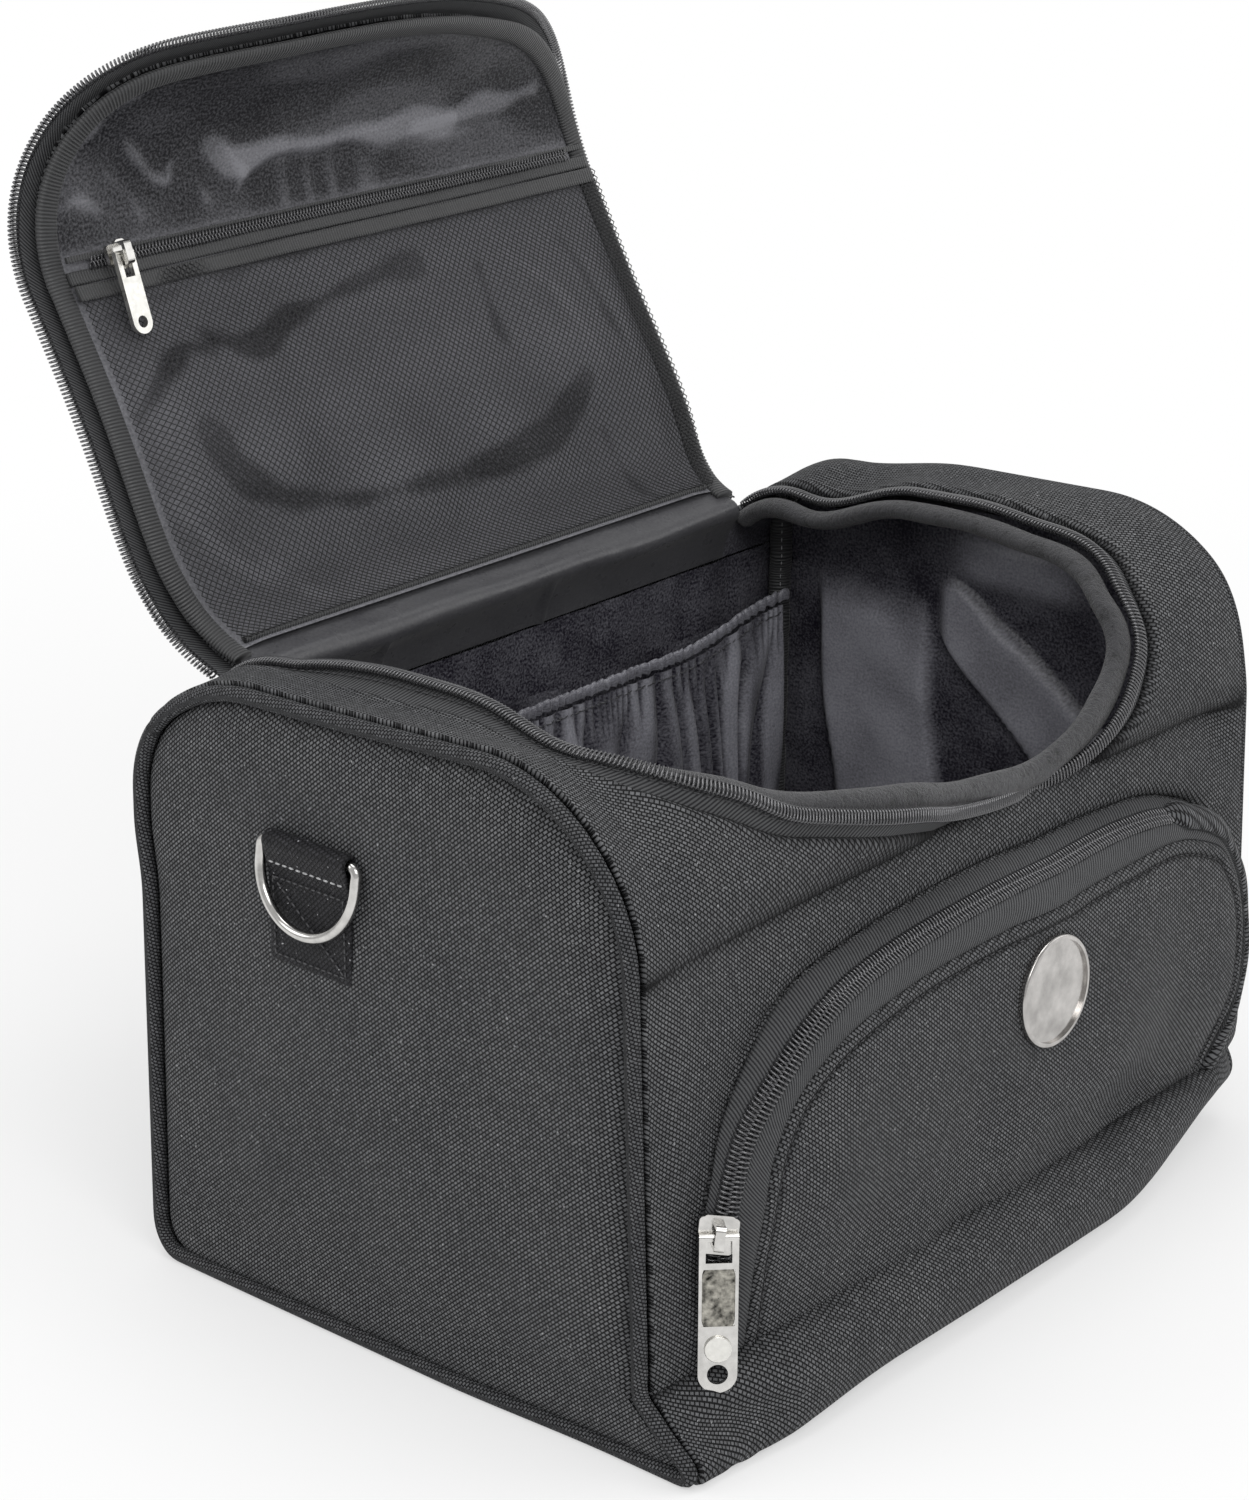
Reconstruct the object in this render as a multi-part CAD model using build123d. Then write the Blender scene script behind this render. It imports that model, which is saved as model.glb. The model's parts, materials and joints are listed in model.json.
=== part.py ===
from build123d import *
from math import acos, atan2, cos, degrees, hypot, radians, sin, sqrt, tan
import os

# Soft vanity case with a full-width lid that zips round three sides.
# The frame is in millimetres: +X runs along the length, +Y to the back, +Z up,
# and the origin is the centre of the base on the surface that it stands on.
# The lid is stored open, leaning back on its fabric hinge.

os.makedirs("parts", exist_ok=True)

# Body outline, seen from the end
case_length = 330
back_depth = 108
back_corner_radius = 38
back_corner_height = 171
front_depth = 98
front_corner_radius = 58
front_corner_height = 156
front_lean = 2.6
base_reach = 120
base_front_radius = 10
base_back_radius = 14
band_height = 26
front_seam_drop = 4

# Thicknesses of the layers, from the outside in
panel_thickness = 3
board_thickness = 1.5
lining_thickness = 0.8
tape_depth = 1
tape_thickness = 1
coil_height = 2.4
coil_width = 3

# Piped edges and padded ends
piping_radius = 2.5
piping_stand = 1.6
end_thickness = 6
end_edge_radius = 4

# Mouth of the case, where the two halves of the zip meet
mouth_half_width = 132
mouth_corner_radius = 66
mouth_crown_radius = 300
mouth_crown_rise = 10
zip_tape_width = 8
zip_gap = 0.3
tape_set_back = 0.5
hinge_angle = 38
hinge_gap = 0.3
hinge_flex = 3.2
lid_open_angle = 116
tail_length = 46

# Bindings inside the mouth and the lid
binding_width = 8
binding_thickness = 5
binding_overlap = 3
lid_binding_width = 6
lid_binding_thickness = 3.5

# Pocket of net inside the lid
net_thickness = 1
net_margin = 2
net_hem = 10
lid_zip_position = 149
lid_zip_width = 10
lid_coil_width = 4
lid_coil_height = 2
lid_zip_end = 116
lid_slider_travel = 218

# Gathered pocket on the back wall
elastic_pocket_depth = 12
elastic_pocket_floor = 38
elastic_pocket_top = 146
elastic_pocket_wall = 1.2
elastic_band_height = 6
elastic_band_thickness = 3
elastic_pocket_margin = 8

# Front pocket
pocket_half_width = 148
pocket_corner_radius = 83
pocket_crown_radius = 608
pocket_height = 118
pocket_depth = 15
pocket_slope = 15
pocket_crown = 5
pocket_crown_inset = 24
pocket_wall = 2
pocket_chain_depth = 8
pocket_chain_width = 5
pocket_chain_height = 1.4
pocket_foot = 5
pocket_slider_angle = 12

# Badge on the front pocket
badge_radius = 19
badge_thickness = 2.4
badge_rim = 1.6
badge_recess = 1
badge_x = 20
badge_height = 101

# Zip sliders and pulls
slider_length = 12
slider_wing = 1.2
slider_plate = 1.6
slider_gap = 0.3
slider_flange = 1.4
slider_reach = 1.5
bridge_length = 8
bridge_width = 3
bridge_opening = 4
bridge_bar = 1.5
pull_length = 50
pull_width = 12
pull_thickness = 1.8
pull_bar_radius = 1
pull_rim = 2
pull_window = 7
pull_recess = 0.4
pull_eye_radius = 3.2
stud_radius = 4.2
stud_height = 1
small_pull_length = 27
small_pull_width = 8
small_slider_length = 9
lid_pull_gap = 1.5
front_pull_lean = 5
tail_slider_angle = 8

# Side rings and their webbing tabs
ring_wire_radius = 1.75
ring_half_width = 20.2
ring_leg = 4
ring_corner_radius = 2.5
ring_tilt = 8
ring_height = 168
ring_y = 25.5
webbing_width = 35
webbing_thickness = 1.5
webbing_foot = 128
webbing_gap = 0.1

# Carrying handle on the lid
handle_run = 86
handle_span = 150
handle_end = 26
handle_rise = 24
handle_slope = 34
handle_width = 26
handle_thickness = 2.4
grip_length = 78
grip_width = 32
grip_thickness = 11
patch_margin = 4
patch_thickness = 1.2
rivet_radius = 3.5
rivet_height = 1.2

# Places worked out from the sizes above
half_length = case_length / 2
wrap_half = half_length - piping_radius
board_depth = panel_thickness + board_thickness
lining_depth = board_depth + lining_thickness
board_half = wrap_half - board_thickness
inner_half = board_half - lining_thickness
back_center = (back_depth - back_corner_radius, back_corner_height)
front_center = (front_corner_radius - front_depth, front_corner_height)
base_front_center = (base_front_radius - base_reach, base_front_radius)
base_back_center = (back_depth - base_back_radius, base_back_radius)
big = 2 * case_length
front_seam = front_corner_height - front_seam_drop
mouth_crown_height = front_corner_height + mouth_crown_rise


def polar(center, radius, angle):
    return (center[0] + radius * cos(radians(angle)), center[1] + radius * sin(radians(angle)))


def top_angle():
    # direction square to the line that touches both upper corners from above
    across = front_center[0] - back_center[0]
    rise = front_center[1] - back_center[1]
    spread = degrees(acos((front_corner_radius - back_corner_radius) / hypot(across, rise)))
    return degrees(atan2(rise, across)) % 360 - (180 - spread)


def line_through(center, radius, angle):
    # a line square to angle, held as its direction and its distance from the origin
    normal = (cos(radians(angle)), sin(radians(angle)))
    return normal, normal[0] * center[0] + normal[1] * center[1] + radius


def crossing(first, second):
    (a, b), c = first
    (d, e), f = second
    span = a * e - b * d
    return ((c * e - b * f) / span, (a * f - c * d) / span)


top_normal = top_angle()
front_normal = 180 - front_lean
front_shoulder = polar(front_center, front_corner_radius, front_normal)
front_foot = (front_shoulder[0] - (front_shoulder[1] - band_height) * tan(radians(front_lean)), band_height)


def lip_angle():
    # the puffed edge of the base leaves the band seam as a line that touches the base's corner
    across = front_foot[0] - base_front_center[0]
    rise = front_foot[1] - base_front_center[1]
    return degrees(atan2(rise, across)) + degrees(acos(base_front_radius / hypot(across, rise)))


lip_normal = lip_angle()


def profile(depth):
    # the outline of the body, seen from the end, moved in by depth
    back = back_corner_radius - depth
    front = front_corner_radius - depth
    low_front = base_front_radius - depth
    low_back = base_back_radius - depth
    front_line = line_through(front_center, front, front_normal)
    lip_line = line_through(base_front_center, low_front, lip_normal)
    seam = crossing(front_line, lip_line)
    edges = [
        Line(polar(base_back_center, low_back, 0), polar(back_center, back, 0)),
        CenterArc(back_center, back, 0, top_normal),
        Line(polar(back_center, back, top_normal), polar(front_center, front, top_normal)),
        CenterArc(front_center, front, top_normal, front_normal - top_normal),
        Line(polar(front_center, front, front_normal), seam),
        Line(seam, polar(base_front_center, low_front, lip_normal)),
        CenterArc(base_front_center, low_front, lip_normal, 270 - lip_normal),
        Line(polar(base_front_center, low_front, 270), polar(base_back_center, low_back, 270)),
        CenterArc(base_back_center, low_back, 270, 90),
    ]
    return Plane.YZ * make_face(Wire(edges))


def slab(depth, start, end):
    # the filled outline between two places along the length
    return Pos(start, 0, 0) * extrude(profile(depth), end - start, dir=(1, 0, 0))


def wrap(outer, inner, half=wrap_half):
    # a layer of the body's skin between two depths
    return slab(outer, -half, half) - slab(inner, -half, half)


def block(low, high):
    size = [high[i] - low[i] for i in range(3)]
    return Pos(*low) * Box(*size, align=(Align.MIN, Align.MIN, Align.MIN))


def arch(half_width, corner_radius, crown_radius, reach, foot, inset):
    # an arched outline whose crown lies at +Y, with straight legs down to foot
    corner_x = half_width - corner_radius
    corner_y = reach - crown_radius + sqrt((crown_radius - corner_radius) ** 2 - corner_x ** 2)
    crown_y = reach - crown_radius
    turn = degrees(atan2(corner_y - crown_y, corner_x))
    side = half_width - inset
    corner = corner_radius - inset
    edges = [
        Line((side, foot), (side, corner_y)),
        CenterArc((corner_x, corner_y), corner, 0, turn),
        CenterArc((0, crown_y), crown_radius - inset, turn, 180 - 2 * turn),
        CenterArc((-corner_x, corner_y), corner, 180 - turn, turn),
        Line((-side, corner_y), (-side, foot)),
        Line((-side, foot), (side, foot)),
    ]
    return make_face(Wire(edges))


def arch_corner(half_width, corner_radius, crown_radius, reach):
    corner_x = half_width - corner_radius
    corner_y = reach - crown_radius + sqrt((crown_radius - corner_radius) ** 2 - corner_x ** 2)
    return corner_x, corner_y


# The mouth is cut square to a plane that leans forward at 45 degrees
mouth_plane = Plane(origin=(0, 0, 0), x_dir=(1, 0, 0), z_dir=(0, 1, -1))
crown_drop = sqrt(front_corner_radius ** 2 - (mouth_crown_height - front_corner_height) ** 2)
mouth_reach = -(front_center[0] - crown_drop + mouth_crown_height) / sqrt(2)
hinge = polar(back_center, back_corner_radius, hinge_angle)
hinge_heading = (-sin(radians(hinge_angle)), cos(radians(hinge_angle)))
hinge_axis = Axis((0, hinge[0], hinge[1]), (1, 0, 0))


def mouth(outset):
    # everything inside the mouth's edge, above and in front of the case
    outline = arch(mouth_half_width, mouth_corner_radius, mouth_crown_radius, mouth_reach, -big, -outset)
    return extrude(mouth_plane * outline, -big)


def ahead(gap):
    # all that lies in front of the hinge line, by gap
    plane = Plane(origin=(0, hinge[0], hinge[1]), x_dir=(1, 0, 0), z_dir=(0, *hinge_heading))
    return plane * Pos(0, 0, gap) * Box(big, big, big, align=(Align.CENTER, Align.CENTER, Align.MIN))


def lid_zone(inset):
    return mouth(-inset) & ahead(hinge_gap)


def open_lid(shape):
    return shape.rotate(hinge_axis, -lid_open_angle)


tail_foot = hinge[1] - tail_length


def tail_zone(inner, outer):
    # strips down the back in line with the mouth's two straight edges
    zone = []
    for side in (-1, 1):
        near = side * mouth_half_width - outer
        far = side * mouth_half_width + outer
        strip = block((near, 0, tail_foot), (far, big, big))
        if inner > 0:
            strip = strip - block((near + outer - inner, 0, 0), (far - outer + inner, big, big))
        zone.append(strip)
    return zone[0] + zone[1]


def base_panel():
    return wrap(0, panel_thickness) & block((-big, -big, -big), (big, big, band_height))


def front_panel():
    return wrap(0, panel_thickness) & block((-big, -big, band_height), (big, 0, front_seam))


def back_panel():
    upper = wrap(0, panel_thickness) & block((-big, 0, band_height), (big, big, big))
    return upper - ahead(0) - tail_zone(0, zip_tape_width)


def opening_surround():
    upper = wrap(0, panel_thickness) & block((-big, -big, front_seam), (big, big, big))
    return (upper & ahead(0)) - mouth(zip_tape_width)


def body_zip_tape():
    layer = wrap(tape_depth, tape_depth + tape_thickness)
    rim = (layer & ahead(0) & mouth(zip_tape_width)) - mouth(zip_gap + tape_set_back)
    rim = rim & block((-big, -big, front_seam), (big, big, big))
    tails = (layer & tail_zone(0, zip_tape_width)) - ahead(0)
    return rim + tails


def body_zip_coil():
    layer = wrap(tape_depth - coil_height, tape_depth)
    rim = (layer & ahead(0) & mouth(zip_gap + coil_width)) - mouth(zip_gap)
    tails = (layer & tail_zone(0, zip_gap + coil_width)) - ahead(-hinge_flex)
    return rim + tails


def opening_binding():
    layer = wrap(panel_thickness, panel_thickness + binding_thickness)
    outer = binding_overlap + binding_width
    return (layer & ahead(0) & mouth(outer)) - mouth(binding_overlap)


def end_panel(side):
    plate = slab(panel_thickness + tape_depth / 2, 0, end_thickness)
    rim = plate.faces().sort_by(Axis.X)[-1].edges()
    plate = fillet(rim, end_edge_radius)
    plate = Pos(wrap_half, 0, 0) * plate
    return plate if side > 0 else mirror(plate, Plane.YZ)


def end_piping(side):
    width = 2 * piping_radius
    ring = slab(-piping_stand, 0, width) - slab(width - piping_stand, 0, width)
    ring = Pos(half_length - piping_radius, 0, 0) * ring
    ends = ring.faces().sort_by(Axis.X)
    ring = chamfer(ends[0].edges() + ends[-1].edges(), piping_radius / 2)
    ring = ring & block((-big, -big, 0), (big, big, big))
    return ring if side > 0 else mirror(ring, Plane.YZ)


front_plane = Plane(
    origin=(0, front_foot[0], band_height),
    x_dir=(1, 0, 0),
    z_dir=(0, -cos(radians(front_lean)), sin(radians(front_lean))),
)
board_foot = lining_depth + slider_gap
board_top = front_seam - binding_width


def base_layer(low, high):
    return block((-inner_half, base_front_center[0], low), (inner_half, base_back_center[0], high))


def front_layer(outer, inner):
    # a flat sheet behind the front panel, between two depths
    low = board_foot - band_height
    high = board_top - band_height
    return front_plane * block((-inner_half, low, -inner), (inner_half, high, -outer))


def back_layer(outer, inner):
    foot = base_back_center[1]
    return block((-inner_half, back_depth - inner, foot), (inner_half, back_depth - outer, board_top))


def end_board(side):
    plate = slab(panel_thickness, board_half, wrap_half)
    return plate if side > 0 else mirror(plate, Plane.YZ)


def end_lining(side):
    plate = slab(lining_depth, inner_half, board_half)
    return plate if side > 0 else mirror(plate, Plane.YZ)


def top_lining():
    layer = wrap(panel_thickness, panel_thickness + lining_thickness, inner_half)
    upper = layer & ahead(0) & block((-big, -big, front_seam), (big, big, big))
    return upper - mouth(binding_overlap + binding_width)


def hinge_strip():
    # the lining that runs from the back wall up to the hinge line
    layer = wrap(panel_thickness, board_depth, inner_half)
    return (layer & block((-big, 0, board_top), (big, big, big))) - ahead(0)


def elastic_pocket():
    half = inner_half - elastic_pocket_margin
    wall = back_depth - lining_depth
    front = wall - elastic_pocket_depth
    tray = block((-half, front, elastic_pocket_floor), (half, wall, elastic_pocket_top))
    edge = elastic_pocket_wall
    inside = block((edge - half, front + edge, elastic_pocket_floor + edge), (half - edge, big, big))
    return tray - inside


def elastic_band():
    half = inner_half - elastic_pocket_margin
    middle = back_depth - lining_depth - elastic_pocket_depth + elastic_pocket_wall / 2
    low = (-half, middle - elastic_band_thickness / 2, elastic_pocket_top)
    high = (half, middle + elastic_band_thickness / 2, elastic_pocket_top + elastic_band_height)
    band = block(low, high)
    return fillet(band.edges().filter_by(Axis.X), elastic_band_thickness / 3)


def skin_place(run):
    # a point on the closed lid's skin, run along it from the hinge, and the direction it faces
    back_run = radians(top_normal - hinge_angle) * back_corner_radius
    start = polar(back_center, back_corner_radius, top_normal)
    end = polar(front_center, front_corner_radius, top_normal)
    top_run = hypot(end[0] - start[0], end[1] - start[1])
    if run < back_run:
        angle = hinge_angle + degrees(run / back_corner_radius)
        return polar(back_center, back_corner_radius, angle), angle
    if run < back_run + top_run:
        share = (run - back_run) / top_run
        place = (start[0] + share * (end[0] - start[0]), start[1] + share * (end[1] - start[1]))
        return place, top_normal
    angle = top_normal + degrees((run - back_run - top_run) / front_corner_radius)
    return polar(front_center, front_corner_radius, angle), angle


def skin_plane(run, depth=0):
    # a plane on the closed lid, facing out
    place, angle = skin_place(run)
    outward = (cos(radians(angle)), sin(radians(angle)))
    origin = (0, place[0] - depth * outward[0], place[1] - depth * outward[1])
    return Plane(origin=origin, x_dir=(1, 0, 0), z_dir=(0, *outward))


def lid_panel():
    return open_lid(wrap(0, panel_thickness) & lid_zone(zip_tape_width))


def lid_zip_tape():
    layer = wrap(tape_depth, tape_depth + tape_thickness) & lid_zone(zip_gap + tape_set_back)
    return open_lid(layer - mouth(-zip_tape_width))


def lid_zip_coil():
    layer = wrap(tape_depth - coil_height, tape_depth) & mouth(-zip_gap) & ahead(hinge_flex)
    return open_lid(layer - mouth(-zip_gap - coil_width))


lid_binding_start = zip_tape_width - lid_binding_width / 3
lid_inner_start = lid_binding_start + lid_binding_width


def lid_binding():
    layer = wrap(panel_thickness, panel_thickness + lid_binding_thickness) & lid_zone(lid_binding_start)
    return open_lid(layer - mouth(-lid_inner_start))


def lid_board():
    return open_lid(wrap(panel_thickness, board_depth) & lid_zone(lid_inner_start))


def lid_lining():
    return open_lid(wrap(board_depth, lining_depth) & lid_zone(lid_inner_start))


def lid_net_pocket():
    layer = wrap(lining_depth, lining_depth + net_thickness) & lid_zone(lid_inner_start + net_margin)
    edge = Pos(0, lid_zip_width / 2, 0)
    behind = edge * Box(big, big, big, align=(Align.CENTER, Align.MIN, Align.CENTER))
    behind = skin_plane(lid_zip_position) * behind
    return open_lid(layer & ahead(net_hem) & behind)


def lid_pocket_zip_tape():
    layer = wrap(lining_depth, lining_depth + net_thickness) & lid_zone(lid_inner_start + net_margin)
    return open_lid(layer & (skin_plane(lid_zip_position) * Box(big, lid_zip_width, big / 4)))


def lid_pocket_zip_coil():
    depth = lining_depth + net_thickness
    bar = Box(2 * lid_zip_end, lid_coil_width, lid_coil_height, align=(Align.CENTER, Align.CENTER, Align.MAX))
    chain = fillet(bar.edges().filter_by(Axis.X), lid_coil_height / 4)
    return open_lid(skin_plane(lid_zip_position, depth + chain_sag()) * chain)


def chain_sag():
    # the skin curves away from a flat chain by this much at the chain's edges
    inner = front_corner_radius - lining_depth - net_thickness
    return inner - sqrt(inner ** 2 - (lid_coil_width / 2) ** 2)


def zip_slider(length, chain_half, turned=False):
    # X runs along the chain, Z faces out and the origin is on top of the chain
    width = 2 * (chain_half + slider_gap + slider_flange)
    low = (Align.CENTER, Align.CENTER, Align.MIN)
    high = (Align.CENTER, Align.CENTER, Align.MAX)
    plate = Pos(0, 0, slider_gap) * Box(length, width, slider_plate, align=low)
    plate = fillet(plate.edges().filter_by(Axis.Z), slider_flange)
    wing = Pos(length / 5, 0, slider_gap) * Box(length / 2, width + 2 * slider_wing, slider_plate, align=low)
    wing = fillet(wing.edges().filter_by(Axis.Z), slider_flange)
    body = plate + wing
    for side in (-1, 1):
        flange = Box(length - 2 * slider_flange, slider_flange, slider_reach, align=high)
        body += Pos(0, side * (width - slider_flange) / 2, slider_gap) * flange
    bridge = Box(bridge_length, bridge_width, bridge_opening + bridge_bar, align=low)
    bridge = fillet(bridge.edges().filter_by(Axis.Y).sort_by(Axis.Z)[-2:], bridge_bar)
    bridge -= Box(bridge_length - 2 * bridge_bar, 2 * bridge_width, bridge_opening, align=low)
    turn = Rot(0, 0, 90) if turned else Rot(0, 0, 0)
    return body + Pos(0, 0, slider_gap + slider_plate) * turn * bridge


bar_height = slider_gap + slider_plate + bridge_opening / 2


def zip_pull(length, width, eye, fancy=True):
    # the pull hangs towards -X from a bar that lies along Y through the origin
    end = width / 2 - length
    plate = Box(-end, width, pull_thickness, align=(Align.MAX, Align.CENTER, Align.CENTER))
    plate += Pos(end, 0, 0) * Cylinder(width / 2, pull_thickness)
    window = Box(pull_window, width - 2 * pull_rim, 2 * pull_thickness, align=(Align.MAX, Align.CENTER, Align.CENTER))
    plate -= Pos(-pull_bar_radius, 0, 0) * window
    plate -= Pos(end, 0, 0) * Cylinder(eye, 2 * pull_thickness)
    if fancy:
        start = -pull_bar_radius - pull_window - pull_rim
        stop = end + eye + 2 * stud_radius + 2 * pull_rim
        sink = Box(start - stop, width - pull_rim, pull_recess, align=(Align.MAX, Align.CENTER, Align.MAX))
        for side in (0, 180):
            plate -= Rot(side, 0, 0) * Pos(start, 0, pull_thickness / 2) * sink
    return plate + Rot(90, 0, 0) * Cylinder(pull_bar_radius, width)


def pull_stud(length, width, eye):
    place = width / 2 - length + eye + stud_radius + pull_rim / 2
    button = Cylinder(stud_radius, stud_height, align=(Align.CENTER, Align.CENTER, Align.MIN))
    button = fillet(button.edges().sort_by(Axis.Z)[-1], stud_height / 3)
    return Pos(place, 0, pull_thickness / 2) * button


chain_half = zip_gap + coil_width


def tail_slider_plane(side):
    spot = polar(back_center, back_corner_radius + coil_height - tape_depth, tail_slider_angle)
    angle = radians(tail_slider_angle)
    return Plane(
        origin=(side * mouth_half_width, *spot),
        x_dir=(0, -sin(angle), cos(angle)),
        z_dir=(0, cos(angle), sin(angle)),
    )


def tail_pull_plane(side):
    bar = (tail_slider_plane(side) * Pos(0, 0, bar_height)).position
    return Plane(origin=bar, x_dir=(0, 0, 1), z_dir=(0, 1, 0))


def main_slider(side):
    return tail_slider_plane(side) * zip_slider(slider_length, chain_half)


def main_pull(side):
    return tail_pull_plane(side) * zip_pull(pull_length, pull_width, pull_eye_radius)


def main_stud(side):
    return tail_pull_plane(side) * pull_stud(pull_length, pull_width, pull_eye_radius)


def lid_slider_plane():
    depth = lining_depth + net_thickness + chain_sag() + lid_coil_height
    plane = skin_plane(lid_zip_position, depth)
    return Plane(origin=plane.origin - Vector(lid_slider_travel / 2, 0, 0), x_dir=(1, 0, 0), z_dir=-plane.z_dir)


def lid_pocket_slider():
    slider = zip_slider(small_slider_length, lid_coil_width / 2, turned=True)
    return open_lid(lid_slider_plane() * slider)


def lid_pocket_pull():
    # it lies along the net, with its end a small gap off it
    plane = lid_slider_plane()
    bar = (plane * Pos(0, 0, bar_height)).position
    depth = lining_depth + net_thickness + lid_pull_gap + pull_thickness / 2
    rest = skin_plane(lid_zip_position - small_pull_length, depth).origin + Vector(bar.X, 0, 0)
    hang = (rest - bar).normalized()
    facing = Vector(1, 0, 0).cross(hang)
    pull = zip_pull(small_pull_length, small_pull_width, small_pull_width / 4, fancy=False)
    return open_lid(Plane(origin=bar, x_dir=-hang, z_dir=facing) * pull)


def pocket_stack(stages, foot):
    # arched layers that step in as they stand out from the front
    solid = None
    for (inset, stand), (next_inset, next_stand) in zip(stages, stages[1:]):
        pair = []
        for inward, out in ((inset, stand), (next_inset, next_stand)):
            outline = arch(pocket_half_width, pocket_corner_radius, pocket_crown_radius, pocket_height, foot, inward)
            pair.append(Pos(0, 0, out) * outline)
        layer = loft(pair, ruled=True)
        solid = layer if solid is None else solid + layer
    return solid


pocket_top = pocket_slope + pocket_crown


def pocket_outer(grow=0):
    stages = [(-grow, 0), (pocket_depth - grow, pocket_depth), (pocket_crown_inset, pocket_top)]
    return pocket_stack(stages, 0)


def pocket_inner():
    stages = [
        (pocket_wall, 0),
        (pocket_depth + pocket_wall / 2, pocket_depth - pocket_wall / 2),
        (pocket_crown_inset + pocket_wall / 2, pocket_top - pocket_wall),
    ]
    return pocket_stack(stages, pocket_wall)


def pocket_shell():
    return pocket_outer() - pocket_inner()


def pocket_tape_zone():
    return block((-big, pocket_foot, -big), (big, big, pocket_depth - pocket_wall / 2))


def front_pocket_zip_tape():
    return front_plane * (pocket_shell() & pocket_tape_zone())


def front_pocket_panel():
    return front_plane * (pocket_shell() - pocket_tape_zone())


def front_pocket_coil():
    middle = pocket_chain_depth + pocket_chain_height / sqrt(8)
    low = middle - pocket_chain_width / sqrt(8)
    high = middle + pocket_chain_width / sqrt(8)
    ring = pocket_outer(pocket_chain_height * sqrt(2)) - pocket_outer()
    return front_plane * (ring & block((-big, pocket_foot, low), (big, big, high)))


def pocket_slider_frame():
    # where the slider sits on the left corner, and the directions along the zip and out of it
    corner_x, corner_y = arch_corner(pocket_half_width, pocket_corner_radius, pocket_crown_radius, pocket_height)
    angle = radians(180 - pocket_slider_angle)
    across = Vector(cos(angle), sin(angle), 0)
    along = Vector(sin(angle), -cos(angle), 0)
    outward = (across + Vector(0, 0, 1)).normalized()
    spot = Vector(-corner_x, corner_y, 0) + across * (pocket_corner_radius - pocket_chain_depth)
    spot += Vector(0, 0, pocket_chain_depth) + outward * pocket_chain_height
    return Plane(origin=spot, x_dir=along, z_dir=outward)


def front_slider_location():
    return front_plane.location * pocket_slider_frame().location


def front_pull_plane():
    bar = (front_slider_location() * Pos(0, 0, bar_height)).position
    facing = Plane(front_slider_location()).z_dir
    level = Vector(facing.X, facing.Y, 0).normalized()
    lean = radians(front_pull_lean)
    hang = Vector(0, 0, -cos(lean)) + level * sin(lean)
    return Plane(origin=bar, x_dir=-hang, z_dir=level * cos(lean) + Vector(0, 0, sin(lean)))


def front_pocket_slider():
    return front_slider_location() * zip_slider(slider_length, (pocket_chain_width + pocket_chain_height) / 2)


def front_pocket_pull():
    return front_pull_plane() * zip_pull(pull_length, pull_width, pull_eye_radius)


def front_pocket_stud():
    return front_pull_plane() * pull_stud(pull_length, pull_width, pull_eye_radius)


def badge():
    height = (badge_height - band_height) / cos(radians(front_lean))
    disc = Cylinder(badge_radius, badge_thickness, align=(Align.CENTER, Align.CENTER, Align.MIN))
    disc = fillet(disc.edges().sort_by(Axis.Z)[-1], badge_rim / 2)
    sink = Pos(0, 0, badge_thickness - badge_recess) * Cylinder(
        badge_radius - badge_rim, badge_thickness, align=(Align.CENTER, Align.CENTER, Align.MIN)
    )
    return front_plane * Pos(badge_x, height, pocket_top) * (disc - sink)


end_face = wrap_half + end_thickness
tube_radius = ring_wire_radius + webbing_gap + webbing_thickness
ring_x = end_face + tube_radius


def webbing_tab(side):
    low = (end_face, ring_y - webbing_width / 2, webbing_foot)
    high = (end_face + 2 * webbing_thickness, ring_y + webbing_width / 2, ring_height)
    tab = block(low, high)
    turn = Pos(ring_x, ring_y, ring_height) * Rot(90, 0, 0)
    tab += turn * Cylinder(tube_radius, webbing_width)
    tab -= turn * Cylinder(ring_wire_radius + webbing_gap, 2 * webbing_width)
    return tab if side > 0 else mirror(tab, Plane.YZ)


def side_ring(side):
    # a D of round wire whose straight bar lies in the webbing
    half = ring_half_width
    bend = ring_corner_radius
    edges = [
        Line((bend - half, 0), (half - bend, 0)),
        CenterArc((half - bend, -bend), bend, 90, -90),
        Line((half, -bend), (half, -bend - ring_leg)),
        CenterArc((0, -bend - ring_leg), half, 0, -180),
        Line((-half, -bend - ring_leg), (-half, -bend)),
        CenterArc((bend - half, -bend), bend, 180, -90),
    ]
    path = Wire(edges)
    section = Plane(origin=(0, 0, 0), x_dir=(0, 0, 1), z_dir=(1, 0, 0)) * Circle(ring_wire_radius)
    wire = sweep(section, path)
    ring = Pos(ring_x, ring_y, ring_height) * Rot(0, -ring_tilt, 0) * Plane.YZ.location * wire
    return ring if side > 0 else mirror(ring, Plane.YZ)


def handle_strap_profile():
    outer = handle_span / 2 + handle_end
    foot = handle_span / 2
    rise = foot - handle_slope
    lower = [(-outer, 0), (-foot, 0), (-rise, handle_rise), (rise, handle_rise), (foot, 0), (outer, 0)]
    upper = [(x, z + handle_thickness) for x, z in reversed(lower)]
    return make_face(Polyline(*lower, *upper, close=True))


def handle_strap():
    strap = extrude(Plane.XZ * handle_strap_profile(), handle_width / 2, both=True)
    return Pos(0, 0, patch_thickness) * strap


def carry_handle_strap():
    return open_lid(skin_plane(handle_run) * handle_strap())


def carry_handle_grip():
    grip = Box(grip_length, grip_width, grip_thickness)
    grip = fillet(grip.edges().filter_by(Axis.X), grip_thickness / 3)
    grip = Pos(0, 0, patch_thickness + handle_rise + handle_thickness / 2) * grip
    return open_lid(skin_plane(handle_run) * (grip - handle_strap()))


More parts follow.
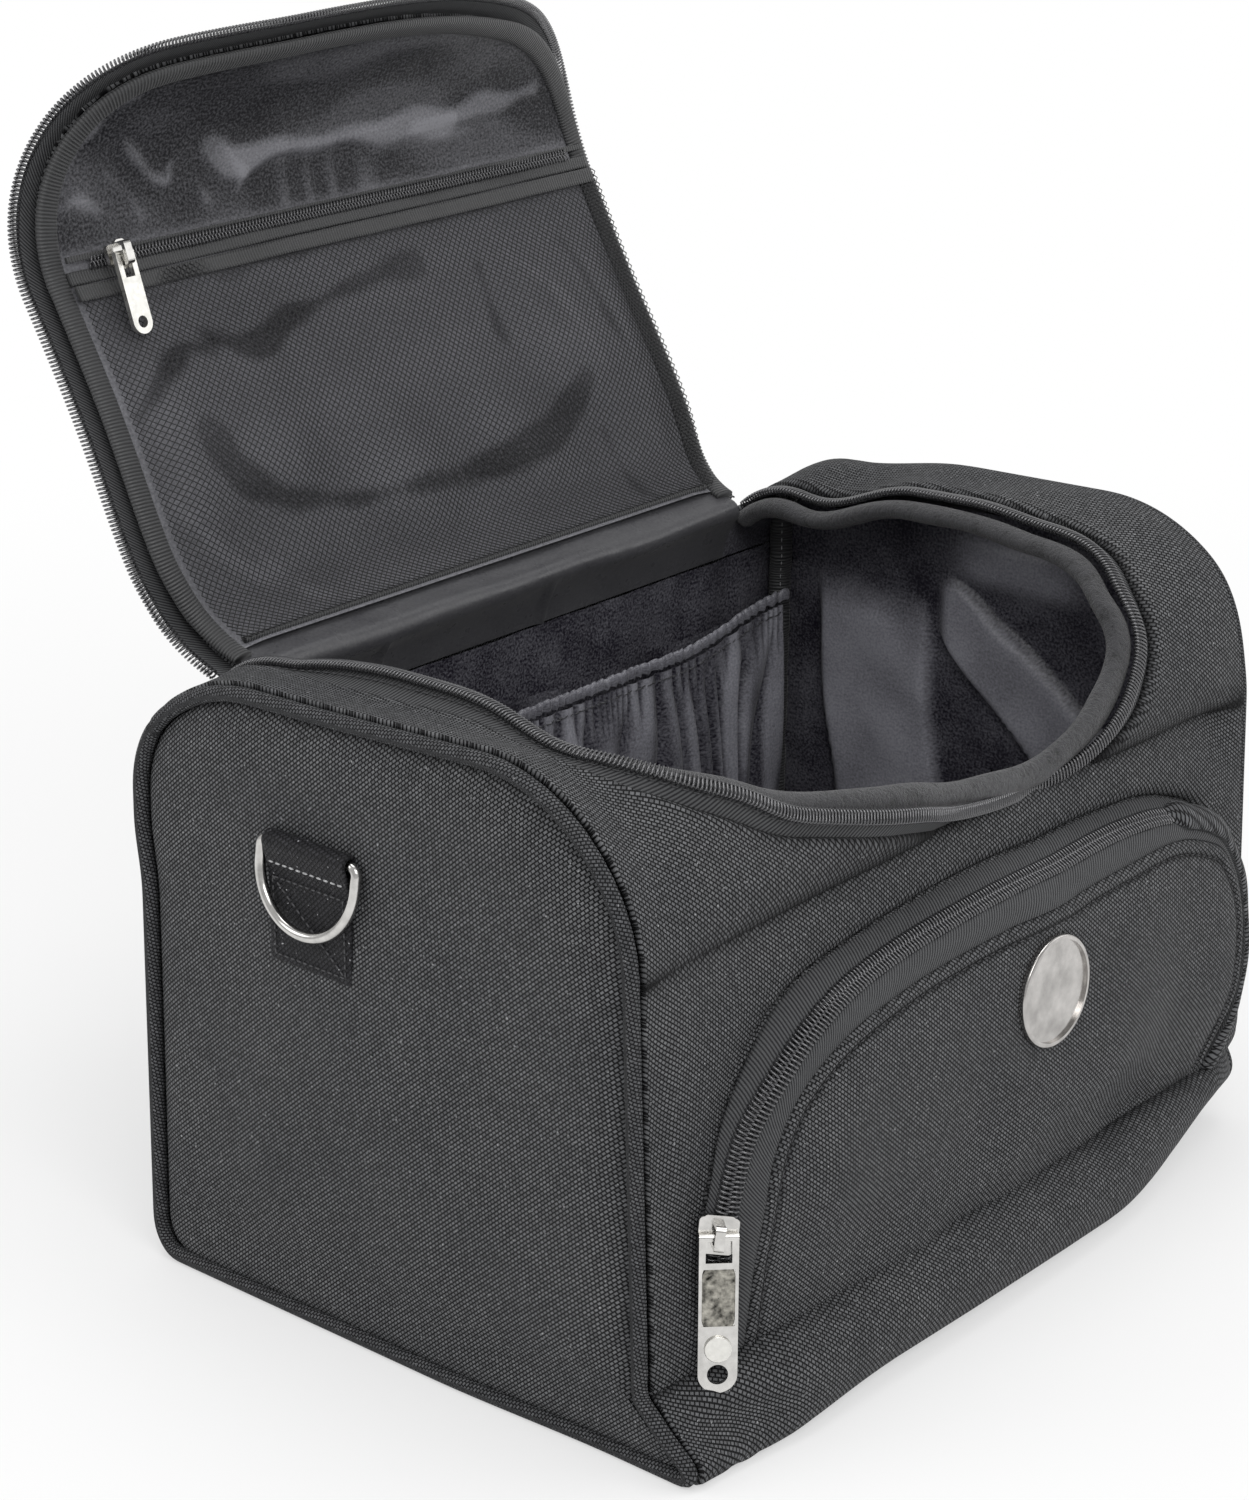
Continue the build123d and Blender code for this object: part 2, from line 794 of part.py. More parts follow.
def carry_handle_patch(side):
    size = handle_end + 2 * patch_margin
    middle = side * (handle_span + handle_end) / 2
    patch = Pos(middle, 0, 0) * Box(
        size, handle_width + 2 * patch_margin, patch_thickness, align=(Align.CENTER, Align.CENTER, Align.MIN)
    )
    return open_lid(skin_plane(handle_run) * patch)


def handle_rivets():
    heads = []
    top = patch_thickness + handle_thickness
    for side in (-1, 1):
        for row in (-1, 1):
            head = Cylinder(rivet_radius, rivet_height, align=(Align.CENTER, Align.CENTER, Align.MIN))
            head = fillet(head.edges().sort_by(Axis.Z)[-1], rivet_height / 2)
            middle = side * (handle_span + handle_end) / 2
            heads.append(Pos(middle, row * handle_width / 4, top) * head)
    return open_lid(skin_plane(handle_run) * Compound(heads))


sides = {"left": -1, "right": 1}
parts = {
    "base_panel": base_panel(),
    "front_panel": front_panel(),
    "back_panel": back_panel(),
    "opening_surround": opening_surround(),
    "body_zip_tape": body_zip_tape(),
    "body_zip_coil": body_zip_coil(),
    "opening_binding": opening_binding(),
    "base_board": base_layer(panel_thickness, board_depth),
    "base_lining": base_layer(board_depth, lining_depth),
    "front_board": front_layer(panel_thickness, board_depth),
    "front_lining": front_layer(board_depth, lining_depth),
    "back_board": back_layer(panel_thickness, board_depth),
    "back_lining": back_layer(board_depth, lining_depth),
    "top_lining": top_lining(),
    "hinge_strip": hinge_strip(),
    "elastic_pocket": elastic_pocket(),
    "elastic_band": elastic_band(),
    "lid_panel": lid_panel(),
    "lid_zip_tape": lid_zip_tape(),
    "lid_zip_coil": lid_zip_coil(),
    "lid_binding": lid_binding(),
    "lid_board": lid_board(),
    "lid_lining": lid_lining(),
    "lid_net_pocket": lid_net_pocket(),
    "lid_pocket_zip_tape": lid_pocket_zip_tape(),
    "lid_pocket_zip_coil": lid_pocket_zip_coil(),
    "lid_pocket_slider": lid_pocket_slider(),
    "lid_pocket_pull": lid_pocket_pull(),
    "carry_handle_strap": carry_handle_strap(),
    "carry_handle_grip": carry_handle_grip(),
    "carry_handle_rivets": handle_rivets(),
    "front_pocket_zip_tape": front_pocket_zip_tape(),
    "front_pocket_panel": front_pocket_panel(),
    "front_pocket_coil": front_pocket_coil(),
    "front_pocket_slider": front_pocket_slider(),
    "front_pocket_pull": front_pocket_pull(),
    "front_pocket_stud": front_pocket_stud(),
    "badge": badge(),
}
for name, side in sides.items():
    parts[name + "_end_panel"] = end_panel(side)
    parts[name + "_piping"] = end_piping(side)
    parts[name + "_end_board"] = end_board(side)
    parts[name + "_end_lining"] = end_lining(side)
    parts[name + "_zip_slider"] = main_slider(side)
    parts[name + "_zip_pull"] = main_pull(side)
    parts[name + "_zip_stud"] = main_stud(side)
    parts[name + "_webbing_tab"] = webbing_tab(side)
    parts[name + "_side_ring"] = side_ring(side)
    parts[name + "_handle_patch"] = carry_handle_patch(side)

for name, shape in parts.items():
    export_step(shape, "parts/" + name + ".step")
    print(name, round(shape.volume))
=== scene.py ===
import json
import math

import bpy
import numpy as np
from mathutils import Matrix, Vector

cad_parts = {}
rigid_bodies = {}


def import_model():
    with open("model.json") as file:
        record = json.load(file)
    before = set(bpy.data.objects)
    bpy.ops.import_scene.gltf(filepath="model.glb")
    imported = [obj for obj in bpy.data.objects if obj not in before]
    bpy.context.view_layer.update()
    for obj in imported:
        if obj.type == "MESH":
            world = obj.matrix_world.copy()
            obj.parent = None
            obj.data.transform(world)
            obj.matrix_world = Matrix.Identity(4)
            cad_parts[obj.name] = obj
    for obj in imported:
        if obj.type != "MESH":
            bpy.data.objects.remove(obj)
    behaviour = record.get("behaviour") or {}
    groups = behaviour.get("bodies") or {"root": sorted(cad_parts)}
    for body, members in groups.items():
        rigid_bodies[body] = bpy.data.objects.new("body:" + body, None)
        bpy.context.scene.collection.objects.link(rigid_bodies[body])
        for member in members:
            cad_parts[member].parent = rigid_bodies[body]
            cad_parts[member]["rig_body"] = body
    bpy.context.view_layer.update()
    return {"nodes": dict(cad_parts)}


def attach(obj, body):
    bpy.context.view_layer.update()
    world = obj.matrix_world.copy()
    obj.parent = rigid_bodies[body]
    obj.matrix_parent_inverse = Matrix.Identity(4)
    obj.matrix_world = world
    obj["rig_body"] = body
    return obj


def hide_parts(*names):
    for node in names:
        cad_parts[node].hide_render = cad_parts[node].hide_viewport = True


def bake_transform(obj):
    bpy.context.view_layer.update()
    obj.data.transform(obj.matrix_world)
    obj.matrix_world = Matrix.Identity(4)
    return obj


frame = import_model()
nodes = frame["nodes"]

print("shape of the case")

caseShape = {  # the outline seen from the end, in metres: back and front upper corners, then the base
    "halfLength": 0.1625,
    "backCorner": (0.070, 0.171, 0.038),
    "frontCorner": (-0.040, 0.156, 0.058),
    "baseFront": (-0.110, 0.010, 0.010),
    "baseBack": (0.094, 0.014, 0.014),
    "lean": 2.6,
    "bandHeight": 0.026,
    "seamHeight": 0.157,
    "hingeAngle": 38,
    "lidOpen": 116,
}
hingeAt = np.array([
    caseShape["backCorner"][0] + caseShape["backCorner"][2] * math.cos(math.radians(caseShape["hingeAngle"])),
    caseShape["backCorner"][1] + caseShape["backCorner"][2] * math.sin(math.radians(caseShape["hingeAngle"])),
])


def onArc(corner, start, stop, step=0.001):
    y, z, radius = corner
    count = max(3, int(abs(math.radians(stop - start)) * radius / step) + 1)
    angles = np.radians(np.linspace(start, stop, count))
    return np.stack([y + radius * np.cos(angles), z + radius * np.sin(angles)], 1)


def onLine(start, stop, step=0.001):
    start, stop = np.array(start), np.array(stop)
    count = max(2, int(np.linalg.norm(stop - start) / step) + 1)
    return start + (stop - start) * np.linspace(0, 1, count)[:, None]


def caseOutline():
    # once round from the hinge: forward over the top, down the front, under the base and up the back
    back, front = caseShape["backCorner"], caseShape["frontCorner"]
    low, rear = caseShape["baseFront"], caseShape["baseBack"]
    across = np.array(front[:2]) - np.array(back[:2])
    top = math.degrees(math.atan2(across[1], across[0])) % 360
    top -= 180 - math.degrees(math.acos((front[2] - back[2]) / np.linalg.norm(across)))
    face = 180 - caseShape["lean"]
    runs = [onArc(back, caseShape["hingeAngle"], top)]
    runs.append(onArc(front, top, face))
    shoulder = runs[-1][-1]
    slope, height = math.tan(math.radians(caseShape["lean"])), caseShape["bandHeight"]
    foot = np.array([shoulder[0] - (shoulder[1] - height) * slope, height])
    gap = foot - np.array(low[:2])
    lip = math.degrees(math.atan2(gap[1], gap[0]))
    lip += math.degrees(math.acos(min(1, low[2] / np.linalg.norm(gap))))
    runs.append(onLine(shoulder, foot))
    runs.append(onArc(low, lip, 270))
    runs.append(onArc(rear, 270, 360))
    runs.append(onArc(back, 0, caseShape["hingeAngle"]))
    joined = [runs[0]]
    for run in runs[1:]:
        joined.append(onLine(joined[-1][-1], run[0])[1:-1])
        joined.append(run)
    line = np.concatenate(joined)
    keep = np.concatenate([[True], np.linalg.norm(np.diff(line, axis=0), axis=1) > 1e-6])
    line = line[keep]
    run = np.concatenate([[0], np.cumsum(np.linalg.norm(np.diff(line, axis=0), axis=1))])
    even = np.linspace(0, run[-1], 900)
    line = np.stack([np.interp(even, run, line[:, 0]), np.interp(even, run, line[:, 1])], 1)
    tangent = np.gradient(line, axis=0)
    tangent /= np.linalg.norm(tangent, axis=1)[:, None]
    return even, line, np.stack([tangent[:, 1], -tangent[:, 0]], 1)


outlineRun, outlineLine, outlineOut = caseOutline()
girth = outlineRun[-1]


def runAtHeight(height, front=True):
    # how far along the outline the front (or back) wall reaches a height
    half = len(outlineRun) // 2
    part = slice(60, half) if front else slice(half, len(outlineRun))
    z = outlineLine[part, 1]
    return float(outlineRun[part][np.argmin(np.abs(z - height))])


seamRun = runAtHeight(caseShape["seamHeight"])
bandRun = runAtHeight(caseShape["bandHeight"])
backHalf = slice(450, None)
atBack = np.abs(outlineLine[backHalf, 1] - caseShape["bandHeight"]) + (outlineLine[backHalf, 0] < 0.05)
backFootRun = float(outlineRun[backHalf][np.argmin(atBack)]) - girth


def smooth(value):
    value = np.clip(value, 0, 1)
    return value * value * (3 - 2 * value)


def bell(value, width):
    return np.exp(-(value / width) ** 2)


def rumple(x, s, size, seed, count=7):
    # soft uneven hills, the same on each run
    chance = np.random.default_rng(seed)
    total = np.zeros(np.broadcast(x, s).shape)
    for _ in range(count):
        turn = chance.uniform(0, math.tau)
        wave = math.tau / (size * chance.uniform(0.6, 1.7))
        total = total + np.sin(wave * (x * math.cos(turn) + s * math.sin(turn)) + chance.uniform(0, math.tau))
    return total / math.sqrt(count)


slack = {  # how the empty case has settled, in metres
    "rightEndRise": 0.0055,
    "seamLedge": 0.0052,
    "bandValley": 0.0028,
    "stuffedFoot": 0.0125,
    "footReach": 0.050,
    "seamBow": 0.0025,
    "rightTuck": 0.0185,
    "leftTuck": 0.0045,
    "backHollow": 0.0028,
    "leftDip": 0.0032,
    "rightDip": 0.0078,
    "frontDip": 0.0048,
    "cornerRound": 0.0088,
    "cornerLift": 0.0060,
    "backDroop": 0.0050,
    "leftToe": 0.0056,
    "ground": 0.0026,
    "wrinkle": 0.0007,
}


footStuffing = {  # how full the foot is along the case, 0 to 1
    "at": [-0.1625, -0.155, -0.148, -0.142, -0.134, -0.118, -0.020, 0.035, 0.080, 0.127, 0.146, 0.156, 0.1625],
    "share": [0.0, 0.10, 0.26, 0.42, 0.64, 0.92, 0.97, 0.82, 0.58, 0.45, 0.39, 0.33, 0.17],
}


def seamOut(x):
    # how far the seam over the base stands out of the plain front
    return slack["stuffedFoot"] * np.interp(x, footStuffing["at"], footStuffing["share"])


def footRise(x, up):
    return seamOut(x) * np.clip(1 - up / slack["footReach"], 0, 1) ** 1.5


def seamLine(x):
    # the seam of the surround bows down a little between the ends
    return seamRun - slack["seamBow"] * (1 - (x / caseShape["halfLength"]) ** 2)


def bandLine(x):
    # the base seam sags a little between the ends
    return bandRun + 0.0022 + 0.0026 * smooth((0.160 - np.abs(x)) / 0.030)


def overhang(x):
    # how much the surround rolls over the front at their seam, 0 to 1
    return 0.12 + 0.88 * smooth((x + 0.150) / 0.070)


def seamShade(x, s):
    # painted shade along the two seams of the front and under the surround where it rolls over the front, 0 to 1
    seam, band = s - seamLine(x), s - bandLine(x)
    under = 0.95 * overhang(x) * np.exp(np.minimum(seam, 0) / 0.0055) * (seam <= 0)
    return np.clip(under + 1.5 * np.exp(-np.abs(seam) / 0.0014) + 1.5 * np.exp(-np.abs(band) / 0.0017), 0, 1)


def settle(x, s):
    # how far the skin stands out from the plain outline
    s = np.where(s > girth / 2 + 0.2, s - girth, s)
    top = smooth((s - 0.035) / 0.05) * smooth((0.225 - s) / 0.04)
    inner = smooth((0.1615 - np.abs(x)) / 0.020)
    out = slack["rightEndRise"] * smooth((x - 0.075) / 0.07) * top
    out = out - 0.0025 * bell(x + 0.148, 0.012) * top * smooth((s - 0.02) / 0.05)
    above = footRise(x, bandRun - s)
    below = seamOut(x) * smooth((bandRun + 0.040 - s) / 0.036)
    out = out + np.where(s < bandRun, above, below)
    seam, band = s - seamLine(x), s - bandLine(x)
    rolled = np.where(seam < 0, np.exp(np.minimum(seam, 0) / 0.0040), np.exp(-np.maximum(seam, 0) / 0.0100))
    out = out - (slack["seamLedge"] * overhang(x) * rolled + 0.0022 * np.exp(-np.abs(seam) / 0.0008)) * inner
    out = out + 0.0022 * overhang(x) * bell(seam + 0.011, 0.009) * inner
    fold = np.where(band < 0, np.exp(np.minimum(band, 0) / 0.0026), np.exp(-np.maximum(band, 0) / 0.0012))
    out = out - (slack["bandValley"] * fold + 0.0010 * np.exp(-np.abs(band) / 0.0006)) * inner
    out = out + 0.0026 * bell(band - 0.009, 0.008) * inner * (0.3 + 0.7 * seamOut(x) / slack["stuffedFoot"])
    near = smooth((0.160 - np.abs(x)) / 0.030)
    dip = np.where(x < 0, slack["leftDip"], slack["rightDip"]) * bell(s - 0.042, 0.030)
    out = out - near * (dip + slack["frontDip"] * bell(s - 0.150, 0.032) * smooth((np.abs(x) - 0.09) / 0.03))
    free = smooth((bandRun + 0.02 - s) / 0.02) * smooth((0.1625 - np.abs(x)) / 0.012)
    return out + slack["wrinkle"] * rumple(x, s, 0.055, 4) * free


def tuck(points):
    # the lower corners draw in where nothing fills them, and the back wall falls in a little
    x, y, z = points[..., 0], points[..., 1], points[..., 2]
    front = smooth((-0.020 - y) / 0.075)
    low = smooth((np.where(x > 0, 0.036, 0.027) - z) / np.where(x > 0, 0.031, 0.018))
    moved = slack["rightTuck"] * smooth((x - 0.060) / 0.100) * low * front
    moved = moved + slack["leftTuck"] * smooth((-x - 0.105) / 0.035) * bell(z - 0.014, 0.009) * front
    hollow = smooth((y - 0.060) / 0.030) * smooth((0.160 - z) / 0.03) * smooth((-x + 0.06) / 0.20)
    dent = 0.7 * np.exp(-(((x - 0.132) / 0.024) ** 2)) * smooth((y - 0.060) / 0.030)
    hollow = hollow + dent * smooth((0.180 - z) / 0.02)
    corner = smooth((x - 0.115) / 0.050) * front
    inward = slack["cornerRound"] * corner * np.clip((0.050 - z) / 0.046, 0, 1) ** 1.5
    toe = slack["leftToe"] * smooth((-x - 0.060) / 0.085) * smooth((0.018 - z) / 0.016) * front
    inward = inward - 0.5 * toe * smooth((-x - 0.125) / 0.035)
    lift = slack["cornerLift"] * corner * np.clip((0.026 - z) / 0.026, 0, 1)
    droop = slack["backDroop"] * smooth((-x - 0.130) / 0.030) * smooth((y - 0.058) / 0.034)
    lift = lift - droop * smooth((z - 0.130) / 0.050)
    fallen = slack["backHollow"] * hollow
    return np.stack([x - inward, y + moved - toe - fallen, np.maximum(z + lift, slack["ground"])], -1)


def onSkin(x, s, depth=0.0, settled=True):
    # points on the body's skin, at a place along the length and a run forward from the hinge
    x, s, depth = np.broadcast_arrays(np.asarray(x, float), np.asarray(s, float), np.asarray(depth, float))
    turn = np.mod(s, girth)
    y = np.interp(turn, outlineRun, outlineLine[:, 0])
    z = np.interp(turn, outlineRun, outlineLine[:, 1])
    ny = np.interp(turn, outlineRun, outlineOut[:, 0])
    nz = np.interp(turn, outlineRun, outlineOut[:, 1])
    out = (settle(x, s) if settled else 0) - depth
    y, z = y + ny * out, z + nz * out
    points = np.stack([x, y, z], -1)
    return tuck(points) if settled else points


def unit(vectors):
    return vectors / np.maximum(np.linalg.norm(vectors, axis=-1, keepdims=True), 1e-12)


def openLid(points):
    # the lid as it lies open, turned back about its hinge
    turn = math.radians(-caseShape["lidOpen"])
    y, z = points[..., 1] - hingeAt[0], points[..., 2] - hingeAt[1]
    return np.stack([points[..., 0],
                     hingeAt[0] + y * math.cos(turn) - z * math.sin(turn),
                     hingeAt[1] + y * math.sin(turn) + z * math.cos(turn)], -1)


mouthShape = {"halfWidth": 0.132, "corner": 0.066, "crown": 0.300, "crownHeight": 0.166}


def mouthEdge(count=600):
    # the rim that the zip follows, as (x, run) on the flattened skin, from the left of the hinge to the right
    half, corner, crown = mouthShape["halfWidth"], mouthShape["corner"], mouthShape["crown"]
    y, z, radius = caseShape["frontCorner"]
    drop = math.sqrt(radius ** 2 - (mouthShape["crownHeight"] - z) ** 2)
    reach = -(y - drop + mouthShape["crownHeight"]) / math.sqrt(2)
    cornerX = half - corner
    cornerY = reach - crown + math.sqrt((crown - corner) ** 2 - cornerX ** 2)
    turn = math.atan2(cornerY - reach + crown, cornerX)
    side = np.linspace(turn, 0, 60)
    arc = np.linspace(math.pi / 2, turn, 60)[:-1]
    x = np.concatenate([crown * np.cos(arc), cornerX + corner * np.cos(side)])
    flat = np.concatenate([reach - crown + crown * np.sin(arc), cornerY + corner * np.sin(side)])
    run = outlineRun[30:320]
    sums = outlineLine[30:320].sum(1)
    s = np.interp(-flat * math.sqrt(2), sums[::-1], run[::-1])
    leg = np.linspace(s[-1], 0, 60)[1:]
    x, s = np.concatenate([x, np.full(len(leg), half)]), np.concatenate([s, leg])
    line = np.concatenate([np.stack([-x, s], 1)[::-1], np.stack([x, s], 1)[1:]])
    return resample(line, count)


def resample(line, count):
    run = np.concatenate([[0], np.cumsum(np.linalg.norm(np.diff(line, axis=0), axis=1))])
    even = np.linspace(0, run[-1], count)
    return np.stack([np.interp(even, run, line[:, k]) for k in range(line.shape[1])], 1)


def alongPath(path, out, count):
    # even points on a path, each with its outward direction
    run = np.concatenate([[0], np.cumsum(np.linalg.norm(np.diff(path, axis=0), axis=1))])
    even = np.linspace(0, run[-1], count)
    both = np.concatenate([path, out], 1)
    return np.stack([np.interp(even, run, both[:, k]) for k in range(6)], 1)


def outset(line, distance):
    # a flat line moved to its left, which is outward for the mouth
    tangent = unit(np.gradient(line, axis=0))
    return line + np.stack([-tangent[:, 1], tangent[:, 0]], 1) * np.asarray(distance)[..., None]


rim = mouthEdge()
rimShare = np.linspace(0, 1, len(rim))


def addPiece(name, points, faces, material, uv=None, body="case", smoothShade=True, slotName=None, folds=None):
    mesh = bpy.data.meshes.new(name)
    points = np.asarray(points, float).reshape(-1, 3)
    mesh.from_pydata(points.tolist(), [], [list(f) for f in faces])
    if uv is not None:
        flat = np.asarray(uv, float).reshape(-1, 2)
        layer = mesh.uv_layers.new(name="cloth")
        index = np.zeros(len(mesh.loops), int)
        mesh.loops.foreach_get("vertex_index", index)
        layer.data.foreach_set("uv", flat[index].astype(np.float32).ravel())
    if folds is not None:  # painted light and shade for the cloth's finish: on the linings 0 in the hollows of the cloth and 1 on its crests, which are painted as highlights; on the woven cloth 1 in its creases and seams, which are painted as shade
        crest = mesh.attributes.new("folds", "FLOAT", "POINT")
        crest.data.foreach_set("value", np.clip(np.asarray(folds, float).ravel(), 0, 1).astype(np.float32))
    mesh.polygons.foreach_set("use_smooth", [smoothShade] * len(mesh.polygons))
    mesh.materials.append(material)
    mesh.update()
    piece = bpy.data.objects.new(name, mesh)
    bpy.context.scene.collection.objects.link(piece)
    if body:
        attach(piece, body)
    return piece


def gridFaces(rows, columns, roundRows=False, roundColumns=False):
    i = np.arange(rows if roundRows else rows - 1)
    j = np.arange(columns if roundColumns else columns - 1)
    i, j = np.meshgrid(i, j, indexing="ij")
    i, j = i.ravel(), j.ravel()
    down, right = (i + 1) % rows, (j + 1) % columns
    corners = [i * columns + j, i * columns + right, down * columns + right, down * columns + j]
    return np.stack(corners, 1).tolist()


def addGrid(name, points, material, uv=None, thick=0.0, offset=-1.0, roundColumns=False, subdivide=0, **more):
    rows, columns = points.shape[:2]
    piece = addPiece(name, points, gridFaces(rows, columns, False, roundColumns), material, uv, **more)
    if thick:
        solid = piece.modifiers.new("thickness", "SOLIDIFY")
        solid.thickness = thick
        solid.offset = offset
    if subdivide:
        soft = piece.modifiers.new("soft", "SUBSURF")
        soft.levels = soft.render_levels = subdivide
    return piece


def frames(path, out=None):
    # tangent, outward and sideways directions along a path
    tangent = unit(np.gradient(path, axis=0))
    if out is None:
        out = np.zeros_like(path)
        hint = np.array([0.0, 0.0, 1.0]) if abs(tangent[0][2]) < 0.9 else np.array([1.0, 0, 0])
        last = unit(hint - tangent[0] * (hint @ tangent[0]))
        for i in range(len(path)):
            last = unit(last - tangent[i] * (last @ tangent[i]))
            out[i] = last
    out = unit(out - tangent * np.sum(out * tangent, 1)[:, None])
    return tangent, out, np.cross(tangent, out)


def addTube(name, path, radius, material, out=None, sides=10, section=None, closed=False, caps=True, **more):
    # a cross-section swept along a path; section is a list of (sideways, outward) in metres
    _, up, side = frames(path, out)
    if closed:
        up[0] = up[-1] = unit(up[0] + up[-1])
    if section is None:
        angles = np.linspace(0, math.tau, sides, endpoint=False)
        section = np.stack([np.cos(angles), np.sin(angles)], 1) * radius
    section = np.asarray(section, float)
    if section.ndim == 2:
        section = np.broadcast_to(section, (len(path),) + section.shape)
    points = path[:, None] + side[:, None] * section[:, :, 0, None] + up[:, None] * section[:, :, 1, None]
    if closed:
        points = points[:-1]
    rows, columns = points.shape[:2]
    faces = gridFaces(rows, columns, closed, True)
    if caps and not closed:
        faces += [list(range(columns))[::-1], list(range((rows - 1) * columns, rows * columns))]
    run = np.concatenate([[0], np.cumsum(np.linalg.norm(np.diff(path, axis=0), axis=1))])[:rows]
    wide = np.concatenate([[0], np.cumsum(np.linalg.norm(np.diff(section[0], axis=0), axis=1))])
    uv = np.stack(np.meshgrid(wide, run), -1)
    return addPiece(name, points, faces, material, uv, **more)


def copies(template, faces, centres, along, up, side, scale=1.0):
    # one small shape repeated at many places
    template = np.asarray(template, float) * scale
    points = (centres[:, None] + along[:, None] * template[None, :, 0, None]
              + side[:, None] * template[None, :, 1, None] + up[:, None] * template[None, :, 2, None])
    step = len(template)
    every = [[v + i * step for v in face] for i in range(len(centres)) for face in faces]
    return points.reshape(-1, 3), every


def bead(length, width, height, rings=3, sides=6):
    # a small rounded lozenge that lies along X
    rows = [(-0.5, 0.0)] + [(-0.5 + (i + 1) / (rings + 1), 1.0) for i in range(rings)] + [(0.5, 0.0)]
    points, faces = [(-length / 2, 0, 0)], []
    for i in range(rings):
        share = rows[i + 1][0]
        swell = math.sqrt(max(0.0, 1 - (2 * share) ** 2)) ** 0.6
        for k in range(sides):
            angle = math.tau * k / sides
            points.append((share * length * 1.15, swell * width / 2 * math.cos(angle),
                           swell * height / 2 * math.sin(angle)))
    points.append((length / 2, 0, 0))
    last = len(points) - 1
    for k in range(sides):
        n = (k + 1) % sides
        faces.append((0, 1 + n, 1 + k))
        for i in range(rings - 1):
            a, b = 1 + i * sides, 1 + (i + 1) * sides
            faces.append((a + k, a + n, b + n, b + k))
        a = 1 + (rings - 1) * sides
        faces.append((a + k, a + n, last))
    return points, faces


def addStitches(name, path, out, material, pitch=0.0036, length=0.0027, thick=0.00055, proud=0.0001,
                body="case", slotName="zip_tape"):
    # a row of sewn stitches along a path
    total = np.sum(np.linalg.norm(np.diff(path, axis=0), axis=1))
    count = max(2, int(total / pitch))
    both = alongPath(path, out, count * 4)
    tangent, up, side = frames(both[:, :3], both[:, 3:])
    pick = slice(2, None, 4)
    template, faces = bead(length, thick, thick)
    points, every = copies(template, faces, both[pick, :3] + up[pick] * proud, tangent[pick], up[pick],
                           side[pick])
    return addPiece(name, points, every, material, body=body, slotName=slotName)


def addCoil(name, path, out, material, width, height, pitch, wire=0.00042, rows=1, body="case", spacing=0.0):
    # a zip's coil: one thread wound along the path, or two that mesh
    total = np.sum(np.linalg.norm(np.diff(path, axis=0), axis=1))
    turns = max(2, int(total / pitch))
    perTurn, sides = 10, 5
    allPoints, allFaces = [], []
    both = alongPath(path, out, turns * perTurn)
    tangent, up, side = frames(both[:, :3], both[:, 3:])
    for row in range(rows):
        phase = np.arange(turns * perTurn) * math.tau / perTurn + row * math.pi
        hand = 1 if row == 0 else -1
        across = np.sign(np.cos(phase)) * np.abs(np.cos(phase)) ** 0.7 * width / 2 * hand
        lift = np.sign(np.sin(phase)) * np.abs(np.sin(phase)) ** 0.8 * height / 2
        shift = (row - (rows - 1) / 2) * spacing
        line = both[:, :3] + side * (across + shift)[:, None] + up * lift[:, None]
        _, u, w = frames(line, up)
        angles = np.arange(sides) * math.tau / sides
        cosine, sine = np.cos(angles)[None, :, None], np.sin(angles)[None, :, None]
        ring = line[:, None] + (u[:, None] * cosine + w[:, None] * sine) * wire
        start = sum(len(p) for p in allPoints)
        allPoints.append(ring.reshape(-1, 3))
        allFaces += [[v + start for v in f] for f in gridFaces(len(line), sides, False, True)]
    return addPiece(name, np.concatenate(allPoints), allFaces, material, body=body, slotName="zip_coil")


def patchBetween(bottom, top, left, right, rows, columns):
    # a smooth filling of four edges; left and right run from bottom to top
    bottom, top = resample(bottom, columns), resample(top, columns)
    left, right = resample(left, rows), resample(right, rows)
    a = np.linspace(0, 1, columns)[None, :, None]
    b = np.linspace(0, 1, rows)[:, None, None]
    ruled = (1 - b) * bottom[None] + b * top[None] + (1 - a) * left[:, None] + a * right[:, None]
    corners = (1 - a) * (1 - b) * bottom[0] + a * (1 - b) * bottom[-1] + (1 - a) * b * top[0] + a * b * top[-1]
    return ruled - corners


def closest(points, edge):
    # distance of flat points from an edge line, and which of its points is nearest
    flat = points.reshape(-1, 2)
    best, index = np.full(len(flat), 9.0), np.zeros(len(flat), int)
    for start in range(0, len(flat), 4000):
        part = flat[start:start + 4000]
        gaps = ((part[:, None] - edge[None]) ** 2).sum(2)
        index[start:start + 4000] = gaps.argmin(1)
        best[start:start + 4000] = np.sqrt(gaps.min(1))
    return best.reshape(points.shape[:-1]), index.reshape(points.shape[:-1])


def awayFrom(points, edge):
    return closest(points, edge)[0]


